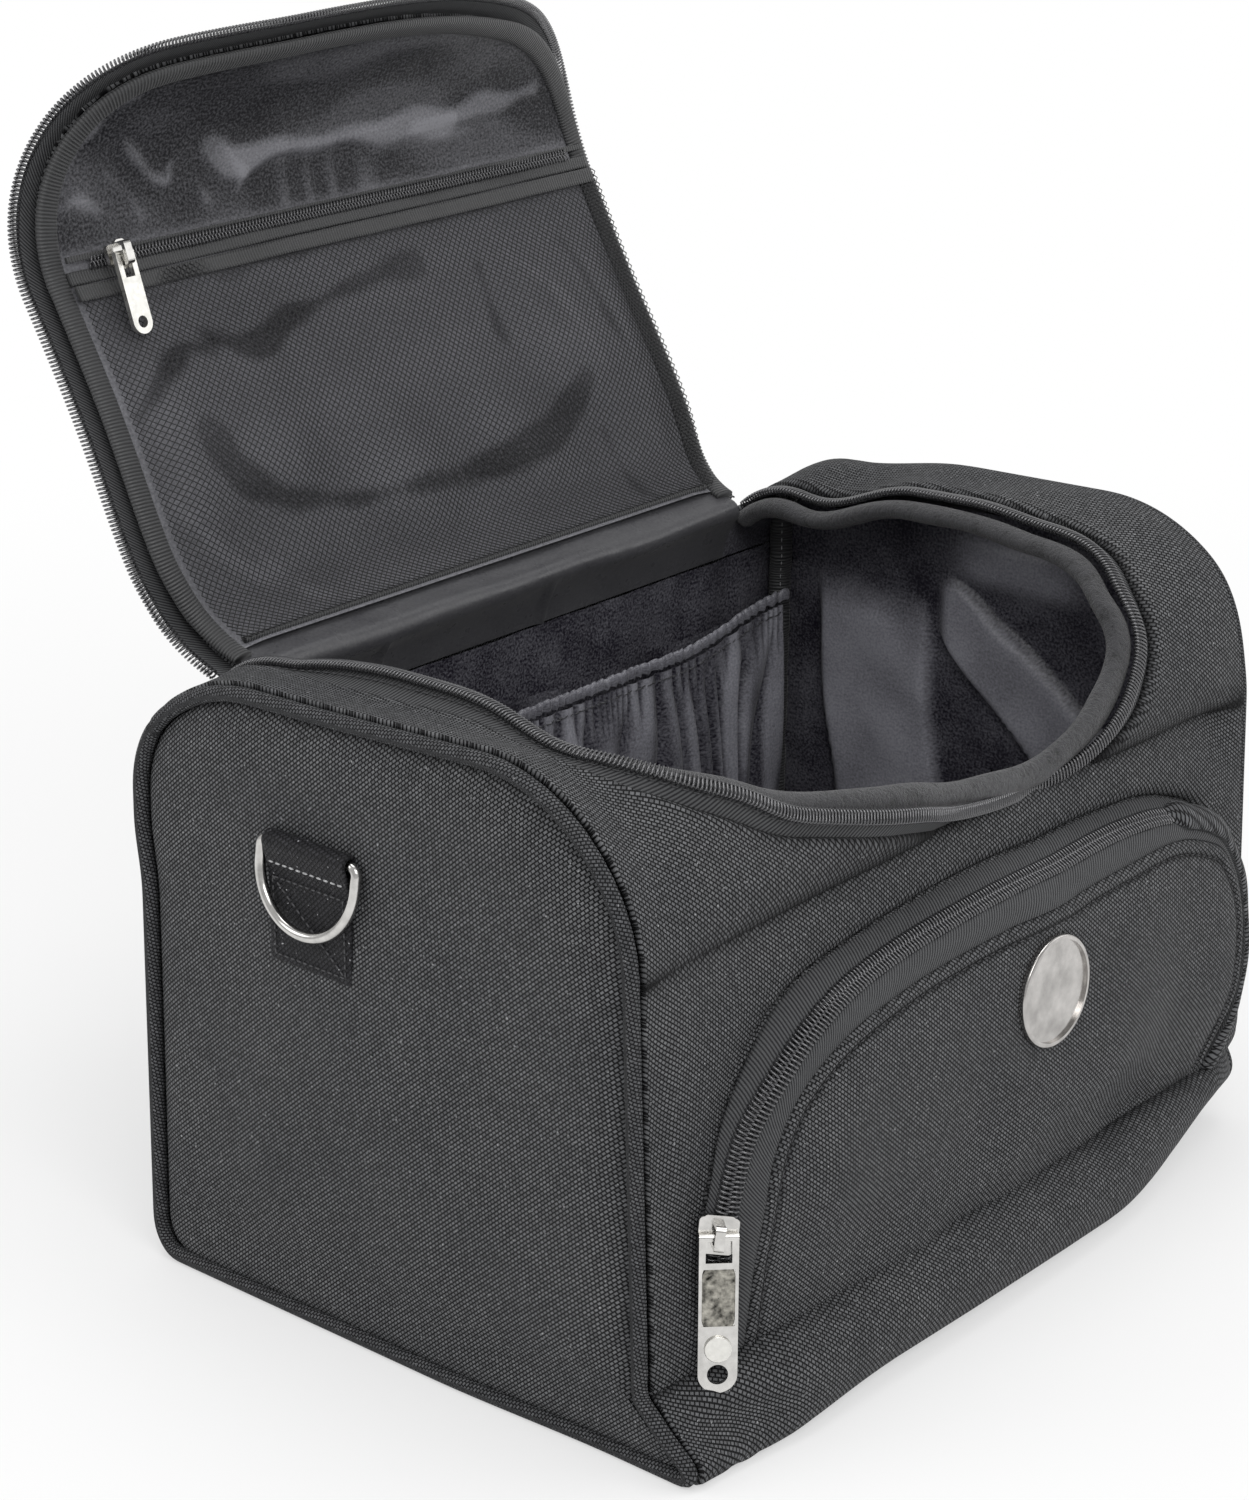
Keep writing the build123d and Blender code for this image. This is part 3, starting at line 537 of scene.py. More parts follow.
class Finish:
    # a small helper to build a material from nodes
    def __init__(self, name, colour, roughness, metallic=0.0, sheen=0.0, coat=0.0, specular=0.5):
        self.material = bpy.data.materials.new(name)
        self.material.use_nodes = True
        self.tree = self.material.node_tree
        self.shader = self.tree.nodes["Principled BSDF"]
        self.shader.inputs["Base Color"].default_value = (*colour, 1)
        self.shader.inputs["Roughness"].default_value = roughness
        self.shader.inputs["Metallic"].default_value = metallic
        self.shader.inputs["Sheen Weight"].default_value = sheen
        self.shader.inputs["Coat Weight"].default_value = coat
        self.shader.inputs["Specular IOR Level"].default_value = specular

    def node(self, kind, **values):
        made = self.tree.nodes.new(kind)
        for key, value in values.items():
            if key in made.inputs:
                made.inputs[key].default_value = value
            else:
                setattr(made, key, value)
        return made

    def link(self, source, target):
        self.tree.links.new(source, target)

    def uv(self, scale):
        where = self.node("ShaderNodeTexCoord")
        sized = self.node("ShaderNodeMapping")
        sized.inputs["Scale"].default_value = scale
        self.link(where.outputs["UV"], sized.inputs["Vector"])
        return sized.outputs["Vector"]

    def place(self, scale=(1, 1, 1)):
        where = self.node("ShaderNodeTexCoord")
        sized = self.node("ShaderNodeMapping")
        sized.inputs["Scale"].default_value = scale
        self.link(where.outputs["Object"], sized.inputs["Vector"])
        return sized.outputs["Vector"]

    def noise(self, vector, scale, detail=3.0, rough=0.55):
        made = self.node("ShaderNodeTexNoise")
        made.inputs["Scale"].default_value = scale
        made.inputs["Detail"].default_value = detail
        made.inputs["Roughness"].default_value = rough
        self.link(vector, made.inputs["Vector"])
        return made.outputs["Fac"]

    def sum(self, first, second, kind="ADD", clamp=False):
        made = self.node("ShaderNodeMath", operation=kind, use_clamp=clamp)
        for socket, value in zip(made.inputs, (first, second)):
            if hasattr(value, "links") or isinstance(value, bpy.types.NodeSocket):
                self.link(value, socket)
            else:
                socket.default_value = value
        return made.outputs[0]

    def ramp(self, source, stops):
        made = self.node("ShaderNodeValToRGB")
        band = made.color_ramp
        while len(band.elements) < len(stops):
            band.elements.new(0.5)
        for element, (place, colour) in zip(band.elements, stops):
            element.position = place
            element.color = (*colour, 1) if len(colour) == 3 else (colour[0],) * 3 + (1,)
        self.link(source, made.inputs["Fac"])
        return made.outputs["Color"]

    def mix(self, share, first, second, kind="MIX"):
        made = self.node("ShaderNodeMix", data_type="RGBA", blend_type=kind)
        for socket, value in ((made.inputs[0], share), (made.inputs[6], first), (made.inputs[7], second)):
            if isinstance(value, bpy.types.NodeSocket):
                self.link(value, socket)
            elif isinstance(value, (int, float)):
                socket.default_value = value
            else:
                socket.default_value = (*value, 1)
        return made.outputs[2]

    def bump(self, height, distance, strength=1.0, under=None):
        made = self.node("ShaderNodeBump")
        made.inputs["Strength"].default_value = strength
        made.inputs["Distance"].default_value = distance
        self.link(height, made.inputs["Height"])
        if under is not None:
            self.link(under, made.inputs["Normal"])
        self.link(made.outputs["Normal"], self.shader.inputs["Normal"])
        return made.outputs["Normal"]

    def colour(self, source):
        self.link(source, self.shader.inputs["Base Color"])

    def roughness(self, source):
        self.link(source, self.shader.inputs["Roughness"])


clothLooks = {
    "thread": 0.00122,
    "dark": (0.0022, 0.0022, 0.0028),
    "light": (0.1080, 0.1105, 0.1150),
    "sparkle": (0.62, 0.63, 0.64),
    "slant": 42,
}


def wovenCloth(name, dark, light, sparkle, thread, aspect=1.35, deep=0.00034, rough=0.66, seen=0.5,
               slant=clothLooks["slant"]):
    # slanting rows of short threads, a few of which catch the light
    finish = Finish(name, light, rough, sheen=0.02, specular=0.16)
    uv = finish.uv((1, 1, 1))
    wobble = finish.noise(uv, 160, 2)
    shifted = finish.node("ShaderNodeVectorMath", operation="MULTIPLY_ADD")
    finish.link(wobble, shifted.inputs[0])
    shifted.inputs[1].default_value = (thread * 0.35,) * 3
    finish.link(uv, shifted.inputs[2])
    turned = finish.node("ShaderNodeMapping")
    turned.inputs["Rotation"].default_value = (0, 0, math.radians(-slant))
    finish.link(shifted.outputs[0], turned.inputs["Vector"])
    bricks = finish.node("ShaderNodeTexBrick", offset=0.5, squash=1.0)
    bricks.inputs["Scale"].default_value = 1
    bricks.inputs["Brick Width"].default_value = thread * aspect
    bricks.inputs["Row Height"].default_value = thread
    bricks.inputs["Mortar Size"].default_value = thread * 0.27
    bricks.inputs["Mortar Smooth"].default_value = 0.75
    bricks.inputs["Color1"].default_value = (*[0.85 * c for c in light], 1)
    bricks.inputs["Color2"].default_value = (*[1.45 * c for c in light], 1)
    bricks.inputs["Mortar"].default_value = (*dark, 1)
    finish.link(turned.outputs["Vector"], bricks.inputs["Vector"])
    cloud = finish.ramp(finish.noise(uv, 26, 4), [(0.3, (0.90, 0.90, 0.91)), (0.7, (1.10, 1.09, 1.08))])
    base = finish.mix(1.0, bricks.outputs["Color"], cloud, "MULTIPLY")
    # painted shade: where the folds attribute is set, in creases and seams, the colour goes towards the dark thread
    # colour and the glints are left out
    crease = finish.node("ShaderNodeAttribute", attribute_name="folds", attribute_type="GEOMETRY")
    base = finish.mix(crease.outputs["Fac"], base, dark)
    grain = finish.noise(uv, 1.0 / thread * 0.9, 1)
    bright = finish.ramp(grain, [(0.72, (0,)), (0.78, (1,))])
    glints = finish.sum(bright, seen, "MULTIPLY")
    openCloth = finish.sum(1.0, crease.outputs["Fac"], "SUBTRACT")
    share = finish.sum(glints, openCloth, "MULTIPLY")
    finish.colour(finish.mix(share, base, sparkle))
    raised = finish.sum(1.0, bricks.outputs["Fac"], "SUBTRACT")
    height = finish.sum(raised, finish.sum(grain, 0.5, "MULTIPLY"), "ADD")
    finish.bump(height, deep, 0.9)
    return finish.material


outerCloth = wovenCloth("outerCloth", clothLooks["dark"], clothLooks["light"], clothLooks["sparkle"],
                        clothLooks["thread"])
pipingCloth = wovenCloth("pipingCloth", (0.004, 0.004, 0.005), (0.082, 0.084, 0.088), (0.45, 0.45, 0.46),
                         0.0011, seen=0.5, slant=25)
strapCloth = wovenCloth("strapCloth", (0.006, 0.006, 0.007), (0.022, 0.022, 0.025), (0.75, 0.75, 0.78), 0.0013,
                        1.3, 0.0004, 0.45, 0.7, 45)


def twillTape(name, dark, light, pitch=0.0011, rough=0.7):
    finish = Finish(name, light, rough, sheen=0.03, specular=0.25)
    uv = finish.uv((1, 1, 1))
    wave = finish.node("ShaderNodeTexWave", wave_type="BANDS", bands_direction="DIAGONAL", wave_profile="SIN")
    wave.inputs["Scale"].default_value = 0.33 / pitch
    wave.inputs["Distortion"].default_value = 0.4
    finish.link(uv, wave.inputs["Vector"])
    cloud = finish.noise(uv, 300, 3)
    height = finish.sum(wave.outputs["Fac"], finish.sum(cloud, 0.4, "MULTIPLY"), "ADD")
    finish.colour(finish.ramp(height, [(0.25, dark), (1.0, light)]))
    finish.bump(height, 0.00018, 0.8)
    return finish.material


tapeCloth = twillTape("tapeCloth", (0.014, 0.014, 0.016), (0.092, 0.094, 0.097), 0.00080)


def ribbedBand(name, dark, light, pitch=0.0012, rough=0.5):
    finish = Finish(name, light, rough, sheen=0.15)
    uv = finish.uv((1, 1, 1))
    wave = finish.node("ShaderNodeTexWave", wave_type="BANDS", bands_direction="Y", wave_profile="SIN")
    wave.inputs["Scale"].default_value = 0.314 / pitch
    wave.inputs["Distortion"].default_value = 0.25
    finish.link(uv, wave.inputs["Vector"])
    cloud = finish.noise(uv, 60, 3)
    finish.colour(finish.ramp(finish.sum(wave.outputs["Fac"], finish.sum(cloud, 0.5, "MULTIPLY"), "ADD"),
                              [(0.2, dark), (1.1 / 1.2, light)]))
    finish.bump(wave.outputs["Fac"], 0.0003, 0.9)
    return finish.material


bindingCloth = ribbedBand("bindingCloth", (0.006, 0.006, 0.007), (0.044, 0.045, 0.047))


def satinCloth(name, dark, pale, shine=0.33, even=0.15, cloud=0.7, gloss=0.5):
    # thin shiny lining: its own dark colour in its hollows, and a pale colour painted on its crests and in soft random
    # patches as painted highlights
    finish = Finish(name, dark, shine, sheen=0.24 * gloss, specular=gloss)
    finish.shader.inputs["Sheen Roughness"].default_value = 0.4
    finish.shader.inputs["Anisotropic"].default_value = 0.45
    uv = finish.uv((1, 1, 1))
    crest = finish.node("ShaderNodeAttribute", attribute_name="folds", attribute_type="GEOMETRY")
    soft = finish.noise(uv, 38, 4, 0.6)
    threads = finish.node("ShaderNodeTexWave", wave_type="BANDS", bands_direction="X", wave_profile="SIN")
    threads.inputs["Scale"].default_value = 620
    threads.inputs["Distortion"].default_value = 1.5
    finish.link(uv, threads.inputs["Vector"])
    speck = finish.noise(uv, 1000, 2)
    clouds = finish.sum(finish.sum(soft, 0.5, "SUBTRACT"), cloud, "MULTIPLY")
    share = finish.sum(crest.outputs["Fac"], clouds, "ADD")
    grains = finish.sum(finish.sum(speck, 0.5, "SUBTRACT"), 1.1, "MULTIPLY")
    share = finish.sum(finish.sum(share, grains, "ADD"), even, "ADD")
    # painted light: the colour runs from the satin's own dark colour to the pale colour of its painted highlights
    finish.colour(finish.ramp(share, [(0.0, dark), (1.0, pale)]))
    finish.roughness(finish.ramp(finish.noise(uv, 140, 2), [(0.3, (shine * 0.8,)), (0.7, (shine * 1.35,))]))
    first = finish.bump(soft, 0.0012, 0.5)
    finish.bump(threads.outputs["Fac"], 0.00004, 0.5, first)
    return finish.material


# the second colour of each lining is the pale colour of its painted highlights
satin = satinCloth("satinLining", (0.009, 0.007, 0.015), (0.36, 0.36, 0.40))
lidSatin = satinCloth("lidSatin", (0.010, 0.010, 0.012), (0.24, 0.24, 0.26), 0.38, 0.0, 0.25, 0.16)
# painted light: the hinge strip is the same lining satin, given a lighter copy of it where the light falls on the strip
hingeSatin = satinCloth("hingeSatin", (0.045, 0.045, 0.050), (0.12, 0.12, 0.125), 0.30, 0.2)


def plainFinish(name, colour, rough, metallic=0.0, coat=0.0, grain=400, deep=0.00003, spread=0.25, tint=None):
    finish = Finish(name, colour, rough, metallic, 0.0, coat)
    spot = finish.place()
    mottle = finish.noise(spot, grain, 4)
    low = tuple(max(0.0, c * (1 - spread)) for c in colour)
    high = tuple(min(1.0, c * (1 + spread)) for c in (tint or colour))
    finish.colour(finish.ramp(mottle, [(0.3, low), (0.7, high)]))
    finish.roughness(finish.ramp(finish.noise(spot, grain * 2.3, 3),
                                 [(0.25, (max(0.03, rough * 0.7),)), (0.8, (rough * 1.4,))]))
    finish.bump(mottle, deep, 0.5)
    return finish.material


# painted sheen: the coil is black nylon, given a mid grey, part metallic colour so that its teeth show bright glints
coilPlastic = plainFinish("coilPlastic", (0.085, 0.085, 0.09), 0.20, 0.45, coat=1.0, grain=900)
nickel = plainFinish("nickelPlate", (0.60, 0.59, 0.57), 0.17, 1.0, grain=260, spread=0.14)
paleNickel = plainFinish("smallPull", (0.80, 0.79, 0.75), 0.30, 1.0, grain=260, spread=0.10)
darkNickel = plainFinish("pullFace", (0.07, 0.07, 0.066), 0.20, 1.0, grain=420, deep=0.00012, spread=0.85,
                         tint=(0.26, 0.25, 0.22))
satinNickel = plainFinish("studFace", (0.80, 0.79, 0.75), 0.42, 1.0, grain=500, spread=0.06)
badgeMetal = plainFinish("badgeMetal", (0.47, 0.455, 0.44), 0.20, 1.0, grain=120, spread=0.28)
threadFinish = plainFinish("sewingThread", (0.060, 0.060, 0.064), 0.55, grain=1500, spread=0.4)
brightThread = plainFinish("brightThread", (0.42, 0.42, 0.43), 0.5, grain=1500, spread=0.4)
netThread = plainFinish("netThread", (0.016, 0.016, 0.018), 0.45, grain=1500, spread=0.4)


def fleeceFinish():
    finish = Finish("fleeceBinding", (0.020, 0.020, 0.023), 0.9, sheen=0.25)
    spot = finish.place()
    fluff = finish.noise(spot, 900, 5, 0.7)
    clumps = finish.noise(spot, 220, 4, 0.6)
    height = finish.sum(fluff, clumps, "ADD")
    finish.colour(finish.ramp(height, [(0.75, (0.007, 0.007, 0.008)), (1.0, (0.036, 0.036, 0.040))]))
    finish.bump(height, 0.0009, 0.9)
    return finish.material


fleece = fleeceFinish()

print("body panels")

zipLine = {  # along the mouth from the left of the hinge: how far the zip stands up, and how far its line has moved out
    "share": [0.00, 0.05, 0.085, 0.12, 0.168, 0.205, 0.240, 0.280, 0.322, 0.387, 0.450, 0.52, 0.60, 1.00],
    "lift": [0.0009, 0.0009, 0.0062, 0.0062, 0.0055, 0.0040, 0.0020, 0.0040, 0.0060, 0.0058, 0.0044, 0.0014,
             0.0009, 0.0009],
    "moveAt": [0.00, 0.20, 0.240, 0.280, 0.322, 0.387, 0.450, 0.50, 0.569, 0.612, 0.652, 0.678, 0.705, 0.771,
               0.845, 0.93, 1.00],
    "move": [0.0, 0.002, 0.0065, 0.0008, -0.0072, -0.0073, -0.0060, -0.001, 0.0080, 0.0068, 0.0028, 0.0000,
             -0.0078, -0.0060, -0.003, -0.002, 0.0],
}


def gently(share, places, values, width=0.012):
    # a line through given values with its corners rounded off
    steps = np.linspace(-1, 1, 9) * width
    return np.mean([np.interp(share + step, places, values) for step in steps], 0)


lift = gently(rimShare, zipLine["share"], zipLine["lift"])
moved = gently(rimShare, zipLine["moveAt"], zipLine["move"])
mouthRim = outset(rim, moved)

pocketShape = {
    "half": 0.148, "corner": 0.083, "crown": 0.608, "height": 0.118,
    "wall": 0.0155, "puff": 0.0048,
    "moveAt": [0.0, 0.58, 0.68, 0.75, 0.79, 0.83, 0.88, 0.94, 1.0],
    "move": [0.0, 0.0, 0.0040, 0.0110, 0.0165, 0.0150, 0.0100, 0.0050, 0.0],
    "coilShare": [0.0, 0.13, 0.27, 0.35, 0.54, 0.66, 0.76, 1.0],
    "coil": [0.0088, 0.0085, 0.0072, 0.0062, 0.0058, 0.0052, 0.0055, 0.0060],
    "seamShare": [0.0, 0.10, 0.16, 0.42, 0.55, 0.66, 0.74, 0.80, 1.0],
    "seam": [0.0180, 0.0175, 0.0155, 0.0155, 0.0150, 0.0142, 0.0115, 0.0115, 0.0130],
    "creaseShare": [0.0, 0.14, 0.19, 0.24, 0.28, 1.0],
    "crease": [0.0045, 0.0042, 0.0025, 0.0012, 0.0, 0.0],
}
badgeSeat = {"x": 0.020, "up": 0.0751, "radius": 0.019, "out": 0.0196}


def pocketArch(count=500):
    # the pocket's outline on the front, as (x, height above the base seam), from the left foot to the right
    half, corner, crown = pocketShape["half"], pocketShape["corner"], pocketShape["crown"]
    cornerX = half - corner
    cornerY = pocketShape["height"] - crown + math.sqrt((crown - corner) ** 2 - cornerX ** 2)
    middle = pocketShape["height"] - crown
    turn = math.atan2(cornerY - middle, cornerX)
    arc = np.linspace(math.pi / 2, turn, 70)
    side = np.linspace(turn, 0, 60)[1:]
    x = np.concatenate([crown * np.cos(arc), cornerX + corner * np.cos(side), np.full(20, half)])
    y = np.concatenate([middle + crown * np.sin(arc), cornerY + corner * np.sin(side),
                        np.linspace(cornerY, 0.0, 21)[1:]])
    line = np.concatenate([np.stack([-x, y], 1)[::-1], np.stack([x, y], 1)[1:]])
    return resample(line, count)


archShare = np.linspace(0, 1, 500)
arch = outset(pocketArch(), gently(archShare, pocketShape["moveAt"], pocketShape["move"]))
arch[:, 0] = np.minimum(arch[:, 0], 0.159)
coilGap, seamGap, creaseGap = (gently(archShare, pocketShape[line + "Share"], pocketShape[line])
                               for line in ("coil", "seam", "crease"))


def rimPath(distance, depth, settled=True):
    # a line beside the mouth's rim, on the body's skin, with its outward directions
    flat = outset(rim, distance + moved)
    path = onSkin(flat[:, 0], flat[:, 1], depth, settled)
    lifted = onSkin(flat[:, 0], flat[:, 1], np.asarray(depth) - 0.001, settled)
    return path, unit(lifted - path)


def surroundGrid(inner, depth, rows=44):
    # from a line round the mouth out to the ends and the front seam
    half = caseShape["halfLength"]
    count = len(rim)
    corners = [int(count * 0.305), int(count * 0.695)]
    left = np.stack([np.full(corners[0], -half), np.linspace(0, seamLine(half), corners[0])], 1)
    across = np.linspace(-half, half, corners[1] - corners[0])
    front = np.stack([across, seamLine(across)], 1)
    right = np.stack([np.full(count - corners[1], half), np.linspace(seamLine(half), 0, count - corners[1])], 1)
    outer = np.concatenate([left, front, right])
    start = outset(rim, inner + moved)
    v = np.sin(np.linspace(0, math.pi / 2, rows))[:, None, None]
    flat = (1 - v) * start[None] + v * outer[None]
    return flat[:, ::2], onSkin(flat[:, ::2, 0], flat[:, ::2, 1], depth)


surroundShape = {"inside": 0.0088, "lining": 0.0110, "liningDepth": 0.0046}
flat, points = surroundGrid(surroundShape["inside"], 0.0)
inward = np.linalg.norm(flat - flat[:1], axis=2)
lip = -0.0006 - 0.0010 * np.exp(-inward / 0.0030) + 0.0022 * np.exp(-inward / 0.0007)
points = onSkin(flat[..., 0], flat[..., 1], lip)
shade = np.clip(seamShade(flat[..., 0], flat[..., 1]) + 0.8 * np.exp(-inward / 0.0008), 0, 1)
surround = addGrid("topSurround", points, outerCloth, flat, thick=0.0022, slotName="outer_fabric", folds=shade)
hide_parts("opening_surround")
flat, points = surroundGrid(surroundShape["lining"], surroundShape["liningDepth"])
topLining = addGrid("topLining", points, satin, flat, slotName="lining_satin")
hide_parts("top_lining")


def skinPanel(name, runs, columns, material, dent=None, density=0.0022, half=caseShape["halfLength"], **more):
    # a panel between two runs; each run is a number or a function of the place along the length
    x = np.linspace(-half, half, columns)
    first, last = [run(x) if callable(run) else np.full(columns, run) for run in runs]
    rows = max(6, int(abs(last.mean() - first.mean()) / density))
    v = 0.5 - 0.5 * np.cos(np.linspace(0, math.pi, rows))[:, None]
    s = first[None] + (last - first)[None] * v
    flat = np.stack([np.broadcast_to(x, s.shape), s], -1)
    crease = dent(flat) if dent else 0.0
    points = onSkin(flat[..., 0], s, 0.0022 * crease)
    steps = np.linalg.norm(np.diff(points, axis=0), axis=2)
    run = first[None] + np.concatenate([np.zeros((1, columns)), np.cumsum(steps, axis=0)])
    # painted shade along the seams and in the crease along the pocket's edge
    return addGrid(name, points, material, np.stack([flat[..., 0], run], -1),
                   folds=np.clip(seamShade(flat[..., 0], s) + 0.9 * np.maximum(crease, 0), 0, 1), **more)


def creaseRound(flat):
    # the front falls in along the pocket's edge
    away, index = closest(np.stack([flat[..., 0], bandRun - flat[..., 1]], -1), arch)
    return bell(away + creaseGap[index], 0.0016) - 0.4 * bell(away - 0.011, 0.008)


frontPanel = skinPanel("frontPanel", (seamLine, bandLine), 240, outerCloth, creaseRound, 0.0013, thick=0.0025,
                       slotName="outer_fabric")
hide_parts("front_panel")
basePanel = skinPanel("basePanel", (bandLine, girth + backFootRun), 120, outerCloth, thick=0.0025,
                      slotName="outer_fabric")
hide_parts("base_panel")
backPanel = skinPanel("backPanel", (backFootRun, 0.0), 110, outerCloth, thick=0.0025, slotName="outer_fabric")
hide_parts("back_panel")

endShape = {"roll": 0.0050, "pillow": 0.0022, "rings": 26, "wrinkle": 0.0006}


def even(loop, times):
    # a closed line with its small kinks taken out
    for _ in range(times):
        loop = (np.roll(loop, 1, 0) + 2 * loop + np.roll(loop, -1, 0)) / 4
    return loop


def endLoop(side, depth, count=260):
    run = np.linspace(0, girth, count, endpoint=False)
    return even(onSkin(np.full(count, side * caseShape["halfLength"]), run, depth), 3), run


def wallFolds(y, z, side):
    # broad slack folds in the end's lining: 0 in the hollows and 1 on the crests; the same value bends the lining and
    # gives its crests painted highlights
    if side < 0:
        return smooth(0.5 + 0.45 * rumple(y * 1.6, z * 0.6, 0.08, 20))
    across = y - 0.14 * (z - 0.120) + 0.0012 * np.sin(z * 90)
    upright = smooth((0.0780 - across) / 0.004) * smooth((across - 0.0240) / 0.005) * smooth((0.172 - z) / 0.02)
    drift = (z - 0.157) - 0.93 * (y - 0.026) + 0.0015 * np.sin(y * 110)
    slant = smooth((drift + 0.002) / 0.004) * smooth((0.034 - 0.3 * np.minimum(y, 0) - drift) / 0.005)
    slant = slant * smooth((0.028 - y) / 0.008) * smooth((0.182 - z) / 0.010)
    patch = np.exp(-(((y + 0.008) / 0.028) ** 4 + ((z - 0.188) / 0.010) ** 4))
    return np.clip(np.maximum(np.maximum(upright, slant), patch) * (0.9 + 0.12 * rumple(y, z, 0.03, 22)), 0, 1)


def tuckEnd(points):
    # the end's own drawing in, without the shift that its outline already has
    moved = tuck(points)
    return np.stack([moved[..., 0], points[..., 1], points[..., 2]], -1)


for sideName, side in (("left", -1), ("right", 1)):
    loop, run = endLoop(side, 0.0034)
    centre = np.array([0.0, 0.0, 0.108])
    share = 1 - np.linspace(0, 1, endShape["rings"]) ** 1.6 * 0.995
    fine = 1 - np.linspace(0, 1, 60) ** 1.2 * 0.995
    reach = np.linalg.norm(loop[:, 1:] - centre[1:], axis=1)
    inward = (1 - share)[:, None] * reach[None]
    calm = even(loop, 90)[:, 1:]
    ease = smooth(inward / 0.035)[..., None]
    flat = centre[1:] + (loop[None, :, 1:] * (1 - ease) + calm[None] * ease - centre[1:]) * share[:, None, None]
    rise = endShape["roll"] * (1 - np.exp(-inward / 0.006)) + endShape["pillow"] * smooth(inward / 0.09)
    hills = rumple(flat[..., 0], flat[..., 1], 0.07, 11 + side)
    rise = rise + endShape["wrinkle"] * hills * smooth(inward / 0.02)
    rise = rise - 0.0012 * bell(flat[..., 1] - 0.020, 0.010) * smooth(inward / 0.02)
    x = side * (caseShape["halfLength"] + 0.0012 + rise)
    low = smooth((0.050 - flat[..., 1]) / 0.05)
    x = x - side * 0.0022 * low * smooth(inward / 0.02)
    points = tuckEnd(np.concatenate([x[..., None], flat], -1))
    panel = addGrid(sideName + "EndPanel", points, outerCloth, flat * [side, 1], roundColumns=True,
                    slotName="outer_fabric")
    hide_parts(sideName + "_end_panel")
    loop, run = endLoop(side, 0.0006, 420)
    loop = np.concatenate([loop, loop[:1]])
    loop[:, 0] = side * 0.1652
    loop = tuckEnd(loop)
    loop[:, 2] = np.maximum(loop[:, 2], 0.0026)
    piping = addTube(sideName + "Piping", loop, 0.0026, pipingCloth, closed=True, sides=12,
                     slotName="piping_fabric")
    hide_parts(sideName + "_piping")
    loop, run = endLoop(side, 0.0062, 300)
    share = fine
    flat = centre[1:] + (loop[None, :, 1:] - centre[1:]) * share[:, None, None]
    crest = wallFolds(flat[..., 0], flat[..., 1], side)
    x = side * (0.1590 - 0.0012 - 0.0042 * crest * smooth((1 - share)[:, None] * 5))
    # painted highlights on the crests of the end lining's folds
    lining = addGrid(sideName + "EndLining", np.concatenate([x[..., None], flat], -1), satin, flat,
                     roundColumns=True, slotName="lining_satin", folds=crest * (0.72 if side > 0 else 0.4))
    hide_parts(sideName + "_end_lining", sideName + "_end_board")

print("zip round the mouth")

zipShape = {"tape": 0.0098, "coilWidth": 0.0036, "coilHeight": 0.0022, "pitch": 0.00138}


def tapeStrip(name, near, far, depths, edge, place, material=tapeCloth, rows=7, **more):
    # a strip beside an edge line; depths go from the near side to the far side
    v = np.linspace(0, 1, rows)
    flat = np.stack([outset(edge, near + (far - near) * share) for share in v])
    depth = depths[0][None] + (depths[1] - depths[0])[None] * v[:, None] ** 0.8
    run = np.concatenate([[0], np.cumsum(np.linalg.norm(np.diff(edge, axis=0), axis=1))])
    uv = np.stack(np.meshgrid(run, (far - near) * v), -1)
    return addGrid(name, place(flat[..., 0], flat[..., 1], depth), material, uv, thick=0.0007, **more)


bodyTape = tapeStrip("bodyZipTape", 0.0008, zipShape["tape"], (-lift, np.full(len(rim), 0.0004)), mouthRim,
                     onSkin, slotName="zip_tape")
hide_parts("body_zip_tape")
path, out = rimPath(0.0022, -lift - 0.0013)
bodyCoil = addCoil("bodyZipCoil", path, out, coilPlastic, 0.0046, zipShape["coilHeight"], zipShape["pitch"])
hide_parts("body_zip_coil")
path, out = rimPath(0.0042, -lift * 0.75 - 0.0002)
addStitches("bodyCoilStitches", path, out, threadFinish)
path, out = rimPath(0.0106, -0.0009)
addStitches("surroundStitches", path, out, threadFinish)

tailShape = {"run": 0.046, "half": 0.0088, "coilHigh": 0.0013, "stop": 0.0012}
for sideName, side in (("left", -1), ("right", 1)):
    s = np.linspace(-tailShape["run"], 0.0, 40)
    x = side * mouthShape["halfWidth"] + np.linspace(-tailShape["half"], tailShape["half"], 9)
    grid = onSkin(*np.broadcast_arrays(x[None], s[:, None]), -0.0003)
    uv = np.stack(np.broadcast_arrays(x[None], s[:, None]), -1)
    addGrid(sideName + "TailTape", grid, tapeCloth, uv, slotName="zip_tape")
    middle = np.full(40, side * mouthShape["halfWidth"])
    path = onSkin(middle, s, -tailShape["coilHigh"])
    out = unit(onSkin(middle, s, -0.0030) - path)
    addCoil(sideName + "TailCoil", path[:-2], out[:-2], coilPlastic, 0.0032, 0.0018, zipShape["pitch"], rows=2,
            spacing=0.0028)
    stop = np.stack([path[0] + [-0.004, 0, 0], path[0] + [0.004, 0, 0]])
    addTube(sideName + "TailStop", stop, tailShape["stop"], nickel, sides=8, slotName="nickel")

openingShape = {"inside": 0.0026, "below": 0.0040, "wide": 0.0048, "high": 0.0034}
path, out = rimPath(-openingShape["inside"], openingShape["below"] - lift * 0.6)
thick = 1 + 0.05 * rumple(rimShare * 0.9, rimShare * 0, 0.06, 31)
angles = np.linspace(0, math.tau, 14, endpoint=False)
section = np.stack([np.cos(angles) * openingShape["wide"], np.sin(angles) * openingShape["high"]], 1)
section = section[None] * thick[:, None, None]
openingBinding = addTube("openingBinding", path, 0, fleece, out=out, section=section, slotName="binding")
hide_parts("opening_binding")

print("inside")

insideShape = {"back": 0.1027, "floor": 0.0062, "half": 0.1585, "pocketFront": 0.0905}


